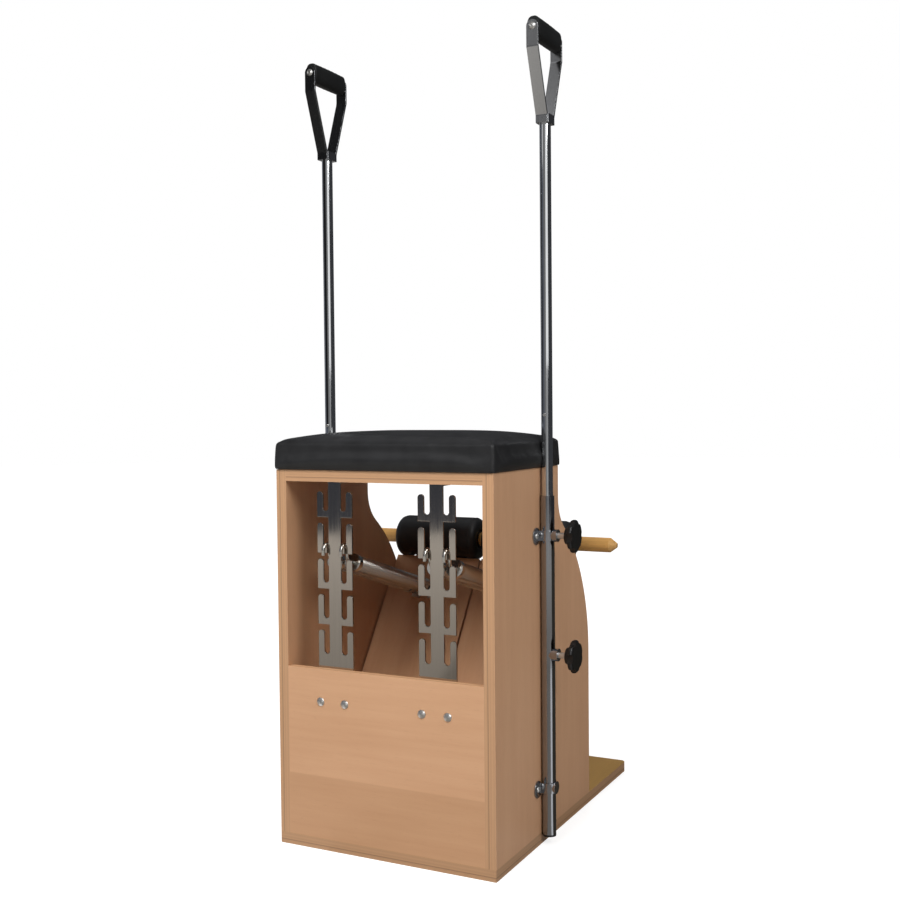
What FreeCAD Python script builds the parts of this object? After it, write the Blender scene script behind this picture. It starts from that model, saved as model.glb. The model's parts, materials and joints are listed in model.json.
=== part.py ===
import FreeCAD, Part
import math
import os

# Pilates chair: a plywood box with a padded seat, two sprung pedals and two telescopic handle poles.
# X runs across the chair, +Y from the spring rack at the back towards the pedals, +Z up.
# Pieces are drawn with y = 0 on the back face and moved to the middle of the whole outline when saved.

Vector = FreeCAD.Vector
AXIS_X = Vector(1, 0, 0)
AXIS_Y = Vector(0, 1, 0)
AXIS_Z = Vector(0, 0, 1)

# Clearances and the overrun of every cut
running_clearance = 0.05
fastener_clearance = 0.1
seat_clearance = 0.3
overrun = 5.0

# Plywood box
board_thickness = 18.0
base_width = 380.0
base_length = 594.0
base_corner_radius = 10.0
box_height = 600.0
seat_depth = 252.0
side_depth = 392.0
curve_drop = 51.0
concave_radius = 66.0
convex_radius = 282.0
back_panel_thickness = 12.0
back_panel_top = 287.0

# Joinery
panel_dowel_diameter = 6.0
panel_dowel_length = 32.0
top_dowel_shares = (0.16, 0.84)
back_dowel_shares = (0.2, 0.8)
base_screw_diameter = 5.0
base_screw_length = 45.0
base_screw_head_diameter = 10.0
base_screw_shares = (0.08, 0.36, 0.64, 0.92)
pan_screw_diameter = 4.5
pan_screw_length = 15.0
pan_head_diameter = 10.0
pan_head_height = 3.0

# Seat
cushion_overhang = 4.0
cushion_side_height = 35.0
cushion_edge_radius = 13.0
cushion_edge_turn = 70.0
cushion_edge_steps = 5
cushion_crown = 11.0
cushion_crown_steps = 5
cushion_crown_share = 0.8
cushion_draw_in = 4.5
cushion_draw_in_shares = ((1.0, 0.0), (0.3, 0.2), (0.0, 0.5), (0.0, 1.0))
cushion_corner_radius = 16.0
cushion_notch_clearance = 2.5
seat_board_thickness = 10.0
seat_board_inset = 14.0
seat_screw_inset = 30.0

# Hook plates
plate_centre = 90.0
plate_thickness = 3.0
plate_foot = 82.0
plate_spine_width = 22.5
plate_slot_width = 10.0
plate_finger_width = 10.5
plate_level_pitch = 56.4
plate_top_drop = 46.5
plate_prong_drop = 16.0
plate_web = 10.0
plate_entry = 9.0
plate_flange = 26.0
plate_bolt_spacing = 44.0
plate_bolt_drop = 51.5
bolt_diameter = 8.0
bolt_head_diameter = 14.0
bolt_head_height = 3.5
bolt_nut_width = 13.0
bolt_nut_height = 6.5
bolt_end_length = 2.0

# Pedals, drawn flat with the pivot at the origin, y along the board and z up from it
pedal_pivot_y = 72.0
pedal_pivot_height = 100.0
pedal_lean = 55.2
pedal_drop = 46.0
pedal_board_start = -15.0
pedal_split = 4.0
pedal_side_gap = 3.0
axle_diameter = 16.0
bearing_flange_diameter = 50.0
bearing_flange_thickness = 4.0
bearing_hub_diameter = 28.0
bearing_hub_length = 10.0
bearing_screw_circle = 38.0
bearing_screw_count = 3
hinge_sleeve_diameter = 24.0
hinge_play = 0.5
hinge_arm_thickness = 6.0
hinge_arm_shares = (0.25, 0.75)
hinge_foot_thickness = 5.0
hinge_foot_width = 34.0
hinge_foot_start = 0.0
hinge_foot_end = 100.0
hinge_bolt_shares = (0.45, 0.82)
pedal_screw_diameter = 6.0
pedal_screw_length = 17.0
pedal_screw_head_diameter = 12.0
pedal_screw_head_height = 4.0

# Rollers and the dowel that links them
roller_reach_share = 0.775
roller_rise = 4.0
roller_diameter = 74.0
roller_end_gap = 4.0
roller_end_radius = 12.0
roller_board_gap = 1.0
core_diameter = 30.0
core_inset = 1.0
collar_diameter = 50.0
bracket_width = 30.0
bracket_thickness = 5.0
bracket_overlap = 58.0
bracket_shares = (0.25, 0.75)
bracket_screw_shares = (0.22, 0.66)
dowel_diameter = 25.0
dowel_length = 500.0
dowel_tip_length = 12.0
dowel_tip_diameter = 8.0

# Springs and their hooks
anchor_setback = 69.0
anchor_height = 14.0
anchor_pin_diameter = 9.0
anchor_lug_thickness = 4.0
anchor_lug_gap = 8.0
anchor_lug_length = 18.0
anchor_foot_thickness = 3.0
anchor_foot_length = 30.0
hook_wire = 6.0
hook_bend_radius = 9.0
hook_leg = 8.0
hook_gap = 0.6
hook_sag = 13.0
hook_neck = 10.0
tail_ring_radius = 8.0
tail_slack = 6.5
tail_reach = 18.0
spring_plug_offset = 18.0
spring_plug_length = 10.0
spring_plug_diameter = 28.0
spring_level_share = 0.25
coil_diameter = 26.0
coil_wire = 4.0
coil_turns = 25
coil_end_radius = 4.4

# Pedal stops
rail_start = 110.0
rail_width = 60.0
pad_length = 40.0
pad_width = 30.0
pad_thickness = 8.0
bumper_reach = 300.0

# Socket tubes, poles and knobs
pole_diameter = 18.0
pole_wall = 2.0
pole_length = 936.0
pole_rise = 532.0
right_pole_setting = 16.0
pole_setback = 74.0
tube_diameter = 22.0
tube_bottom = 17.0
tube_drop = 44.0
tube_plug_length = 14.0
tube_plug_rim = 3.0
upper_knob_drop = 63.0
lower_knob_drop = 252.0
boss_diameter = 20.0
boss_length = 7.0
stud_diameter = 10.0
knob_gap = 14.0
knob_diameter = 52.0
knob_thickness = 9.0
knob_round = 4.0
knob_hub_diameter = 26.0
knob_hub_length = 8.0
knob_stud_depth = 10.0
knob_lobes = 6
knob_scallop_radius = 10.0
knob_scallop_depth = 5.0
clamp_thickness = 2.0
clamp_height = 16.0
clamp_ear_diameter = 27.0
clamp_ear_lap = 5.0
lower_clamp_height = 92.0
stop_screw_rise = 67.0
stop_screw_diameter = 5.0
stop_screw_head = 3.0

# Handles
handle_socket_width = 21.0
handle_socket_depth = 24.0
handle_socket_length = 12.0
strap_width = 19.0
strap_thickness = 3.5
strap_rise = 96.0
strap_bend_radius = 6.0
grip_diameter = 34.0
grip_length = 94.0
grip_rise = 126.0
handle_bolt_diameter = 7.0
handle_bolt_head_diameter = 12.0
handle_bolt_head_height = 4.0
handle_bolt_recess = 5.0
grip_bolt_length = 40.0

# Sizes that follow from those above
half_width = base_width / 2
inner_half = half_width - board_thickness
box_centre_y = (base_length - cushion_overhang) / 2
top_board_bottom = box_height - board_thickness
curve_start_height = box_height - curve_drop
coil_mean_radius = (coil_diameter - coil_wire) / 2
slot_offset = (plate_spine_width + plate_slot_width) / 2
plate_width = plate_spine_width + 2 * (plate_slot_width + plate_finger_width)
plate_front = back_panel_thickness + plate_thickness
plate_middle = back_panel_thickness + plate_thickness / 2
plate_bottom = back_panel_top - plate_foot
plate_bolt_height = back_panel_top - plate_bolt_drop
plate_top_level = top_board_bottom - plate_top_drop
plate_prong_top = top_board_bottom - plate_prong_drop
plate_levels = 1 + int((plate_top_level - back_panel_top) / plate_level_pitch)
spring_level = round(spring_level_share * (plate_levels - 1))
spring_offsets = (plate_centre - slot_offset, plate_centre + slot_offset)
tube_x = half_width + tube_diameter / 2 + seat_clearance
tube_bore = pole_diameter + 2 * running_clearance
tube_face = tube_x + tube_diameter / 2
boss_face = tube_face + boss_length
knob_face = boss_face + knob_gap
pole_y = seat_depth - pole_setback
pole_top = box_height + pole_rise
pole_bottom = pole_top - pole_length
tube_top = box_height - tube_drop
upper_knob_height = tube_top - upper_knob_drop
lower_knob_height = tube_top - lower_knob_drop
stop_screw_height = box_height + stop_screw_rise
clamp_inner = tube_diameter / 2 + seat_clearance
clamp_outer = clamp_inner + clamp_thickness
clamp_ear_reach = clamp_outer - clamp_ear_lap + clamp_ear_diameter / 2
handle_socket_bottom = pole_top - handle_socket_length
strap_shoulder_height = pole_top + strap_rise
grip_height = pole_top + grip_rise
board_start_x = pedal_split / 2
board_end_x = inner_half - pedal_side_gap
board_width_x = board_end_x - board_start_x
board_middle_x = (board_start_x + board_end_x) / 2
roller_start_x = board_start_x + roller_end_gap
roller_end_x = board_end_x - roller_end_gap
roller_height = roller_rise - pedal_drop
roller_reach = roller_reach_share * box_height
pedal_board_end = roller_reach - roller_diameter / 2 - roller_board_gap
anchor_reach = pedal_board_end - anchor_setback
pedal_underside = -pedal_drop - board_thickness
lean_cos = math.cos(math.radians(pedal_lean))
lean_sin = math.sin(math.radians(pedal_lean))


def box(x0, x1, y0, y1, z0, z1):
    return Part.makeBox(x1 - x0, y1 - y0, z1 - z0, Vector(x0, y0, z0))


def rod(start, direction, diameter, length):
    return Part.makeCylinder(diameter / 2, length, start, direction)


def pipe(start, direction, outer, inner, length):
    return rod(start, direction, outer, length).cut(rod(start, direction, inner, length))


def across(points, x0, x1):
    """A straight-sided outline of (y, z) points, drawn out along X."""
    corners = [Vector(x0, y, z) for y, z in points]
    outline = Part.makePolygon(corners + corners[:1])
    return Part.Face(outline).extrude(Vector(x1 - x0, 0, 0))


def group(solids):
    return Part.makeCompound(solids)


def mirrored(shape):
    return shape.mirror(Vector(0, 0, 0), AXIS_X)


def both_sides(shape):
    return [shape, mirrored(shape)]


def save(name, shape):
    placed = shape.copy()
    placed.translate(Vector(0, -box_centre_y, 0))
    os.makedirs("parts", exist_ok=True)
    placed.exportStep("parts/" + name + ".step")


def save_pair(name, shape):
    """The right-hand piece and its mirror image on the left."""
    save("right_" + name, shape)
    save("left_" + name, mirrored(shape))


def on_pedal(shape):
    """From the pedal drawn flat about its pivot to the raised pedal in the chair."""
    placed = shape.copy()
    placed.rotate(Vector(0, 0, 0), AXIS_X, pedal_lean)
    placed.translate(Vector(0, pedal_pivot_y, pedal_pivot_height))
    return placed


def pedal_point(reach, height):
    y = pedal_pivot_y + reach * lean_cos - height * lean_sin
    z = pedal_pivot_height + reach * lean_sin + height * lean_cos
    return y, z


def dome_head(seat, direction, diameter, height):
    """A domed screw head that stands on its seat and points against the shank."""
    radius = (diameter * diameter / 4 + height * height) / (2 * height)
    centre = seat - direction * (height - radius)
    ball = Part.makeSphere(radius, centre)
    return ball.common(rod(seat, -direction, diameter, height + overrun))


def screw(seat, direction, head_diameter, head_height, diameter, length):
    head = dome_head(seat, direction, head_diameter, head_height)
    return head.fuse(rod(seat, direction, diameter, length)).removeSplitter()


def screw_hole(seat, direction, diameter, length):
    depth = length + fastener_clearance + overrun
    return rod(seat - direction * overrun, direction, diameter + 2 * fastener_clearance, depth)


# Screw places, each a seat under the head and the way the shank points
def clamp_screw_places():
    seat_x = half_width + clamp_thickness
    rows = [pole_y + way * clamp_ear_reach for way in (-1, 1)]
    return [(Vector(seat_x, y, z), -AXIS_X) for z in (upper_knob_height, lower_clamp_height) for y in rows]


def bearing_screw_places():
    places = []
    for step in range(bearing_screw_count):
        turn = 2 * math.pi * step / bearing_screw_count + math.pi / 2
        y = pedal_pivot_y + bearing_screw_circle / 2 * math.cos(turn)
        z = pedal_pivot_height + bearing_screw_circle / 2 * math.sin(turn)
        places.append((Vector(inner_half - bearing_flange_thickness, y, z), AXIS_X))
    return places


def flange_screw_place():
    y = plate_front + (plate_flange - plate_thickness) / 2
    return Vector(plate_centre, y, top_board_bottom - plate_thickness), AXIS_Z


def seat_screw_places():
    x = inner_half - seat_screw_inset
    rows = (seat_screw_inset + plate_flange, seat_depth - seat_screw_inset)
    return [(Vector(x, y, top_board_bottom), AXIS_Z) for y in rows]


def pan_screw_places():
    return clamp_screw_places() + bearing_screw_places() + [flange_screw_place()]


def pan_screw(place):
    return screw(*place, pan_head_diameter, pan_head_height, pan_screw_diameter, pan_screw_length)


def seat_screw(place):
    length = board_thickness + seat_board_thickness / 2
    return screw(*place, pan_head_diameter, pan_head_height, pan_screw_diameter, length)


def pan_screws():
    right = [pan_screw(place) for place in pan_screw_places()]
    right += [seat_screw(place) for place in seat_screw_places()]
    return right + [mirrored(solid) for solid in right]


def pan_screw_holes():
    right = [screw_hole(*place, pan_screw_diameter, pan_screw_length) for place in pan_screw_places()]
    length = board_thickness + seat_board_thickness / 2
    right += [screw_hole(*place, pan_screw_diameter, length) for place in seat_screw_places()]
    return right + [mirrored(solid) for solid in right]


# Hidden joinery of the box
def panel_dowel_places():
    """Middles of the wooden dowels that join the boards to the right-hand side panel."""
    top_z = box_height - board_thickness / 2
    places = [(share * seat_depth, top_z) for share in top_dowel_shares]
    span = back_panel_top - board_thickness
    places += [(back_panel_thickness / 2, board_thickness + share * span) for share in back_dowel_shares]
    rail_height = -pedal_drop + pad_thickness + board_thickness / 2
    places.append(pedal_point(rail_start + rail_width / 2, rail_height))
    return places


def panel_dowels(diameter, length):
    start_x = inner_half - length / 2
    right = [rod(Vector(start_x, y, z), AXIS_X, diameter, length) for y, z in panel_dowel_places()]
    return right + [mirrored(solid) for solid in right]


def panel_dowel_holes():
    diameter = panel_dowel_diameter + 2 * fastener_clearance
    return panel_dowels(diameter, panel_dowel_length + 2 * fastener_clearance)


def base_screw(place):
    head_length = (base_screw_head_diameter - base_screw_diameter) / 2
    head = Part.makeCone(base_screw_head_diameter / 2, base_screw_diameter / 2, head_length, place, AXIS_Z)
    return head.fuse(rod(place, AXIS_Z, base_screw_diameter, base_screw_length)).removeSplitter()


def base_screws():
    x = half_width - board_thickness / 2
    right = [base_screw(Vector(x, share * side_depth, seat_clearance)) for share in base_screw_shares]
    return right + [mirrored(solid) for solid in right]


def base_screw_holes():
    x = half_width - board_thickness / 2
    head_length = (base_screw_head_diameter - base_screw_diameter) / 2
    holes = []
    for share in base_screw_shares:
        place = Vector(x, share * side_depth, 0)
        wide = base_screw_head_diameter / 2 + fastener_clearance + seat_clearance
        narrow = base_screw_diameter / 2 + fastener_clearance
        holes.append(Part.makeCone(wide, narrow, head_length + seat_clearance, place, AXIS_Z))
        holes.append(screw_hole(place, AXIS_Z, base_screw_diameter, base_screw_length + seat_clearance))
    return holes + [mirrored(hole) for hole in holes]


# Plywood pieces
def base_board():
    board = box(-half_width, half_width, 0, base_length, 0, board_thickness)
    front = [edge for edge in board.Edges if edge.BoundBox.YMin > base_length - overrun]
    upright = [edge for edge in front if edge.BoundBox.ZLength > board_thickness / 2]
    return board.makeFillet(base_corner_radius, upright).cut(base_screw_holes())


def side_outline():
    """Side panel in the YZ plane: a shallow seat above, an S-shaped front and a deep foot below."""
    shift = side_depth - seat_depth
    turn = math.acos(1 - shift / (concave_radius + convex_radius))
    curve_end_height = curve_start_height - (concave_radius + convex_radius) * math.sin(turn)

    def concave(angle):
        y = seat_depth + concave_radius * (1 - math.cos(angle))
        return Vector(inner_half, y, curve_start_height - concave_radius * math.sin(angle))

    def convex(angle):
        y = side_depth - convex_radius * (1 - math.cos(angle))
        return Vector(inner_half, y, curve_end_height + convex_radius * math.sin(angle))

    rear_foot = Vector(inner_half, 0, board_thickness)
    front_foot = Vector(inner_half, side_depth, board_thickness)
    front_top = Vector(inner_half, seat_depth, box_height)
    rear_top = Vector(inner_half, 0, box_height)
    return Part.Wire([
        Part.LineSegment(rear_foot, front_foot).toShape(),
        Part.LineSegment(front_foot, convex(0)).toShape(),
        Part.Arc(convex(0), convex(turn / 2), convex(turn)).toShape(),
        Part.Arc(concave(turn), concave(turn / 2), concave(0)).toShape(),
        Part.LineSegment(concave(0), front_top).toShape(),
        Part.LineSegment(front_top, rear_top).toShape(),
        Part.LineSegment(rear_top, rear_foot).toShape(),
    ])


def side_panel():
    panel = Part.Face(side_outline()).extrude(Vector(board_thickness, 0, 0))
    return panel.cut(panel_dowel_holes() + pan_screw_holes() + base_screw_holes())


def top_board():
    board = box(-inner_half, inner_half, 0, seat_depth, top_board_bottom, box_height)
    return board.cut(panel_dowel_holes() + pan_screw_holes())


def back_panel():
    panel = box(-inner_half, inner_half, 0, back_panel_thickness, board_thickness, back_panel_top)
    return panel.cut(panel_dowel_holes() + plate_bolt_holes())


# Seat
def seat_board():
    half = half_width - seat_board_inset
    rear = seat_board_inset
    front = seat_depth - seat_board_inset
    board = box(-half, half, rear, front, box_height, box_height + seat_board_thickness)
    return board.cut(pan_screw_holes())


def rounded_rectangle(half_x, half_y, centre_y, radius, height):
    """Four straight sides joined by quarter circles."""
    edges = []
    corners = ((1, 1), (-1, 1), (-1, -1), (1, -1))
    ends = []
    for way_x, way_y in corners:
        centre = Vector(way_x * (half_x - radius), centre_y + way_y * (half_y - radius), height)
        along_x = centre + Vector(way_x * radius, 0, 0)
        along_y = centre + Vector(0, way_y * radius, 0)
        middle = centre + Vector(way_x, way_y, 0).normalize() * radius
        first, last = (along_x, along_y) if way_x == way_y else (along_y, along_x)
        ends.append((first, middle, last))
    for step, (first, middle, last) in enumerate(ends):
        edges.append(Part.Arc(first, middle, last).toShape())
        edges.append(Part.LineSegment(last, ends[(step + 1) % len(ends)][0]).toShape())
    return Part.Wire(edges)


def cushion_levels(half_y):
    """How far in and how high each section lies: drawn-in foot, rounded edge, then the crown."""
    levels = []
    for inset_share, height_share in cushion_draw_in_shares:
        levels.append((inset_share * cushion_draw_in, height_share * cushion_side_height))
    for step in range(cushion_edge_steps):
        turn = math.radians(cushion_edge_turn) * (step + 1) / cushion_edge_steps
        inset = cushion_edge_radius * (1 - math.cos(turn))
        levels.append((inset, cushion_side_height + cushion_edge_radius * math.sin(turn)))
    edge_inset, edge_height = levels[-1]
    for step in range(cushion_crown_steps):
        way = (step + 1) / cushion_crown_steps
        inset = edge_inset + way * (cushion_crown_share * half_y - edge_inset)
        levels.append((inset, edge_height + cushion_crown * (1 - (1 - way) * (1 - way))))
    return levels


def seat_cushion():
    """Drawn in at the bottom, full at the sides and crowned on top, with a groove for each pole."""
    half_x = half_width + cushion_overhang
    half_y = (seat_depth + 2 * cushion_overhang) / 2
    bottom = box_height + seat_clearance
    sections = []
    for inset, height in cushion_levels(half_y):
        radius = min(cushion_corner_radius + inset / 2, (half_y - inset) * 2 / 3)
        outline = (half_x - inset, half_y - inset, seat_depth / 2, radius, bottom + height)
        sections.append(rounded_rectangle(*outline))
    cushion = Part.makeLoft(sections, True, True)
    groove = pole_diameter + 2 * cushion_notch_clearance
    place = Vector(tube_x, pole_y, box_height - overrun)
    groove_height = cushion_side_height + cushion_edge_radius + cushion_crown + 2 * overrun
    grooves = both_sides(rod(place, AXIS_Z, groove, groove_height))
    half = half_width - seat_board_inset + seat_clearance
    rear = seat_board_inset - seat_clearance
    front = seat_depth - rear
    top = box_height + seat_board_thickness + seat_clearance
    return cushion.cut(grooves + [box(-half, half, rear, front, box_height - overrun, top)])


# Hook plates
def level_height(level):
    return plate_top_level - level * plate_level_pitch


def slot_cut(way, level):
    """One slot with a round bottom, open to the outer edge of the plate through its entry."""
    centre = plate_centre + way * slot_offset
    outer = plate_centre + way * (plate_width / 2 + overrun)
    finger_inner = centre + way * plate_slot_width / 2
    bottom = level_height(level)
    depth = (back_panel_thickness - overrun, plate_front + overrun)
    is_top = level == 0
    top = box_height if is_top else bottom + plate_level_pitch - plate_web
    tip = plate_prong_top if is_top else top - plate_entry
    low = bottom + plate_slot_width / 2
    half = plate_slot_width / 2
    cuts = box(centre - half, centre + half, *depth, low, top)
    round_start = Vector(centre, depth[0], low)
    cuts = cuts.fuse(rod(round_start, AXIS_Y, plate_slot_width, depth[1] - depth[0]))
    entry = box(*sorted((centre, outer)), *depth, tip - plate_finger_width / 2, top)
    finger = finger_inner + way * plate_finger_width / 2
    finger_start = Vector(finger, depth[0], tip - plate_finger_width / 2)
    finger_tip = rod(finger_start, AXIS_Y, plate_finger_width, depth[1] - depth[0])
    return cuts.fuse(entry).cut(finger_tip)


def plate_bolt_places():
    half = plate_bolt_spacing / 2
    return [Vector(plate_centre + way * half, 0, plate_bolt_height) for way in (-1, 1)]


def plate_bolt_holes():
    length = plate_front + bolt_end_length
    right = [screw_hole(place, AXIS_Y, bolt_diameter, length) for place in plate_bolt_places()]
    return right + [mirrored(hole) for hole in right]


def hook_plate():
    half = plate_width / 2
    depth = (back_panel_thickness, plate_front)
    fingers = box(plate_centre - half, plate_centre + half, *depth, plate_bottom, plate_prong_top)
    half_spine = plate_spine_width / 2
    spine_sides = (plate_centre - half_spine, plate_centre + half_spine)
    spine = box(*spine_sides, *depth, plate_bottom, top_board_bottom)
    flange_end = back_panel_thickness + plate_flange
    flange_low = top_board_bottom - plate_thickness
    flange = box(*spine_sides, back_panel_thickness, flange_end, flange_low, top_board_bottom)
    plate = fingers.fuse([spine, flange]).removeSplitter()
    slots = [slot_cut(way, level) for way in (-1, 1) for level in range(plate_levels)]
    return plate.cut(slots + plate_bolt_holes() + pan_screw_holes()).removeSplitter()


def hook_plate_bolts():
    length = plate_front + bolt_nut_height + bolt_end_length
    solids = []
    for place in plate_bolt_places():
        solids.append(screw(place, AXIS_Y, bolt_head_diameter, bolt_head_height, bolt_diameter, length))
        solids.append(hex_nut(place + AXIS_Y * plate_front))
    return solids + [mirrored(solid) for solid in solids]


def hex_nut(place):
    across_corners = bolt_nut_width / math.sqrt(3)
    corners = []
    for step in range(6):
        turn = math.pi / 3 * step
        corners.append(place + Vector(math.cos(turn), 0, math.sin(turn)) * across_corners)
    outline = Part.makePolygon(corners + corners[:1])
    nut = Part.Face(outline).extrude(AXIS_Y * bolt_nut_height)
    return nut.cut(screw_hole(place, AXIS_Y, bolt_diameter, bolt_nut_height + overrun))


# Pedal axle and its bearings
def pedal_axle():
    half = inner_half - seat_clearance
    start = Vector(-half, pedal_pivot_y, pedal_pivot_height)
    return rod(start, AXIS_X, axle_diameter, 2 * half)


def bearing_flange():
    face = Vector(inner_half, pedal_pivot_y, pedal_pivot_height)
    length = bearing_flange_thickness + bearing_hub_length
    flange = rod(face, -AXIS_X, bearing_flange_diameter, bearing_flange_thickness)
    flange = flange.fuse(rod(face, -AXIS_X, bearing_hub_diameter, length)).removeSplitter()
    bore = rod(face + AXIS_X * overrun, -AXIS_X, axle_diameter + 2 * running_clearance, length + 2 * overrun)
    return flange.cut([bore] + pan_screw_holes())


# Pedals
def hinge_foot_sides():
    half = hinge_arm_thickness / 2
    starts = [board_start_x + share * board_width_x - half for share in hinge_arm_shares]
    return [(start, start + hinge_foot_width) for start in starts]


def hinge_screw_places():
    top = -pedal_drop + hinge_foot_thickness
    places = []
    for start, end in hinge_foot_sides():
        x = (start + hinge_arm_thickness + end) / 2
        for share in hinge_bolt_shares:
            y = hinge_foot_start + share * (hinge_foot_end - hinge_foot_start)
            places.append((Vector(x, y, top), -AXIS_Z))
    return places


def bracket_middles():
    return [board_start_x + share * board_width_x for share in bracket_shares]


def bracket_screw_places():
    start = pedal_board_end - bracket_overlap
    face = pedal_underside - bracket_thickness
    places = []
    for x in bracket_middles():
        for share in bracket_screw_shares:
            places.append((Vector(x, start + share * bracket_overlap, face), AXIS_Z))
    return places


def pedal_screw_holes():
    places = hinge_screw_places() + bracket_screw_places()
    return [screw_hole(*place, pedal_screw_diameter, pedal_screw_length) for place in places]


def pedal_screws():
    heads = (pedal_screw_head_diameter, pedal_screw_head_height)
    places = hinge_screw_places() + bracket_screw_places()
    return [screw(*place, *heads, pedal_screw_diameter, pedal_screw_length) for place in places]


def pedal_board():
    board = box(board_start_x, board_end_x, pedal_board_start, pedal_board_end, pedal_underside, -pedal_drop)
    return board.cut(pedal_screw_holes())


def pedal_hinge():
    """A sleeve on the axle, two arms and two feet, welded together."""
    sleeve_end = inner_half - bearing_flange_thickness - bearing_hub_length - hinge_play
    start = Vector(board_start_x + hinge_play, 0, 0)
    length = sleeve_end - start.x
    hinge = rod(start, AXIS_X, hinge_sleeve_diameter, length)
    radius = hinge_sleeve_diameter / 2
    foot_top = -pedal_drop + hinge_foot_thickness
    slope = radius / math.sqrt(2)
    web = ((-radius, 0), (-radius, foot_top), (hinge_foot_end, foot_top), (slope, slope))
    for side_start, side_end in hinge_foot_sides():
        foot = box(side_start, side_end, hinge_foot_start - radius, hinge_foot_end, -pedal_drop, foot_top)
        hinge = hinge.fuse([across(web, side_start, side_start + hinge_arm_thickness), foot])
    bore_start = start - AXIS_X * overrun
    bore = rod(bore_start, AXIS_X, axle_diameter + 2 * running_clearance, length + 2 * overrun)
    return hinge.removeSplitter().cut([bore] + pedal_screw_holes())


def roller_axis(x):
    return Vector(x, roller_reach, roller_height)


def bracket_bar(x, room):
    """Flat bar under the board that reaches up to the roller's collar, with room round it."""
    half = bracket_width / 2 + room
    start = pedal_board_end - bracket_overlap
    low = pedal_underside - bracket_thickness - room
    return box(x - half, x + half, start, roller_reach, low, pedal_underside + room)


def collar(x, room):
    half = bracket_width / 2 + room
    return rod(roller_axis(x - half), AXIS_X, collar_diameter + 2 * room, 2 * half)


def roller_core():
    """Core tube with two collars and two bars, welded together."""
    start = roller_axis(roller_start_x + core_inset)
    length = roller_end_x - roller_start_x - 2 * core_inset
    core = rod(start, AXIS_X, core_diameter, length)
    for x in bracket_middles():
        core = core.fuse([collar(x, 0), bracket_bar(x, 0)])
    bore_start = start - AXIS_X * overrun
    bore = rod(bore_start, AXIS_X, dowel_diameter + 2 * running_clearance, length + 2 * overrun)
    return core.removeSplitter().cut([bore] + pedal_screw_holes())


def roller_pad():
    """A padded cylinder with rounded ends, hollowed for the core tube, its collars and bars."""
    start = roller_axis(roller_start_x)
    length = roller_end_x - roller_start_x
    pad = rod(start, AXIS_X, roller_diameter, length)
    pad = pad.makeFillet(roller_end_radius, [edge for edge in pad.Edges if edge.BoundBox.XLength < overrun])
    bore_start = start - AXIS_X * overrun
    hollows = [rod(bore_start, AXIS_X, core_diameter + 2 * seat_clearance, length + 2 * overrun)]
    for x in bracket_middles():
        half = bracket_width / 2 + seat_clearance
        low = roller_height - roller_diameter
        hollows.append(collar(x, seat_clearance))
        hollows.append(box(x - half, x + half, pedal_board_end - overrun, roller_reach, low, roller_height))
    return pad.cut(hollows)


def spring_anchor(x):
    """A foot with two lugs and a cross pin, screwed flat to the pedal board."""
    half = anchor_lug_gap / 2 + anchor_lug_thickness
    foot_half = anchor_foot_length / 2
    face = -pedal_drop
    foot_sides = (anchor_reach - foot_half, anchor_reach + foot_half)
    foot = box(x - half, x + half, *foot_sides, face, face + anchor_foot_thickness)
    lug_half = anchor_lug_length / 2
    top = face + anchor_height + lug_half
    lugs = box(x - half, x + half, anchor_reach - lug_half, anchor_reach + lug_half, face, top)
    gap_half = anchor_lug_gap / 2
    gap_low = face + anchor_foot_thickness
    gap = box(x - gap_half, x + gap_half, *foot_sides, gap_low, top + overrun)
    pin = rod(Vector(x - half, anchor_reach, face + anchor_height), AXIS_X, anchor_pin_diameter, 2 * half)
    return lugs.cut(gap).fuse([foot, pin]).removeSplitter()


def link_dowel():
    """Round wooden rod with tapered tips."""
    y, z = pedal_point(roller_reach, roller_height)
    half = dowel_length / 2
    straight = half - dowel_tip_length
    bar = rod(Vector(-straight, y, z), AXIS_X, dowel_diameter, 2 * straight)
    end = Vector(straight, y, z)
    tip = Part.makeCone(dowel_diameter / 2, dowel_tip_diameter / 2, dowel_tip_length, end, AXIS_X)
    return bar.fuse(both_sides(tip)).removeSplitter()


# Springs
def hook_pivot():
    """Centre of the hook's bend, just under the round bottom of the slot it hangs in."""
    half = plate_thickness / 2
    inner_radius = hook_bend_radius - hook_wire / 2
    return plate_middle, level_height(spring_level) + hook_gap - inner_radius + half * half / inner_radius


def anchor_pivot():
    return pedal_point(anchor_reach, anchor_height - pedal_drop)


def spring_line():
    """The spring's axis in the YZ plane: where the hook's wire joins it, its direction and its length."""
    hook_y, hook_z = hook_pivot()
    anchor_y, anchor_z = anchor_pivot()
    gap = math.hypot(anchor_y - hook_y, anchor_z - hook_z)
    fall = math.atan2(hook_z - anchor_z, anchor_y - hook_y) - math.asin(hook_sag / gap)
    along = Vector(0, math.cos(fall), -math.sin(fall))
    up = Vector(0, math.sin(fall), math.cos(fall))
    leg = (hook_sag - hook_bend_radius + 2 * hook_bend_radius * up.y) / up.z
    reach = 2 * hook_bend_radius * along.y + leg * up.y
    start = Vector(0, hook_y, hook_z) - up * hook_sag + along * reach
    return start, along, math.sqrt(gap * gap - hook_sag * hook_sag) - reach


def round_wire(path, diameter):
    """A round wire along a smooth path of edges."""
    first = path[0]
    begin = first.valueAt(first.FirstParameter)
    heading = first.tangentAt(first.FirstParameter)
    section = Part.Wire(Part.Circle(begin, heading, diameter / 2).toShape())
    sweep = Part.BRepOffsetAPI.MakePipeShell(Part.Wire(path))
    sweep.add(section)
    sweep.build()
    sweep.makeSolid()
    return sweep.shape()


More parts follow.
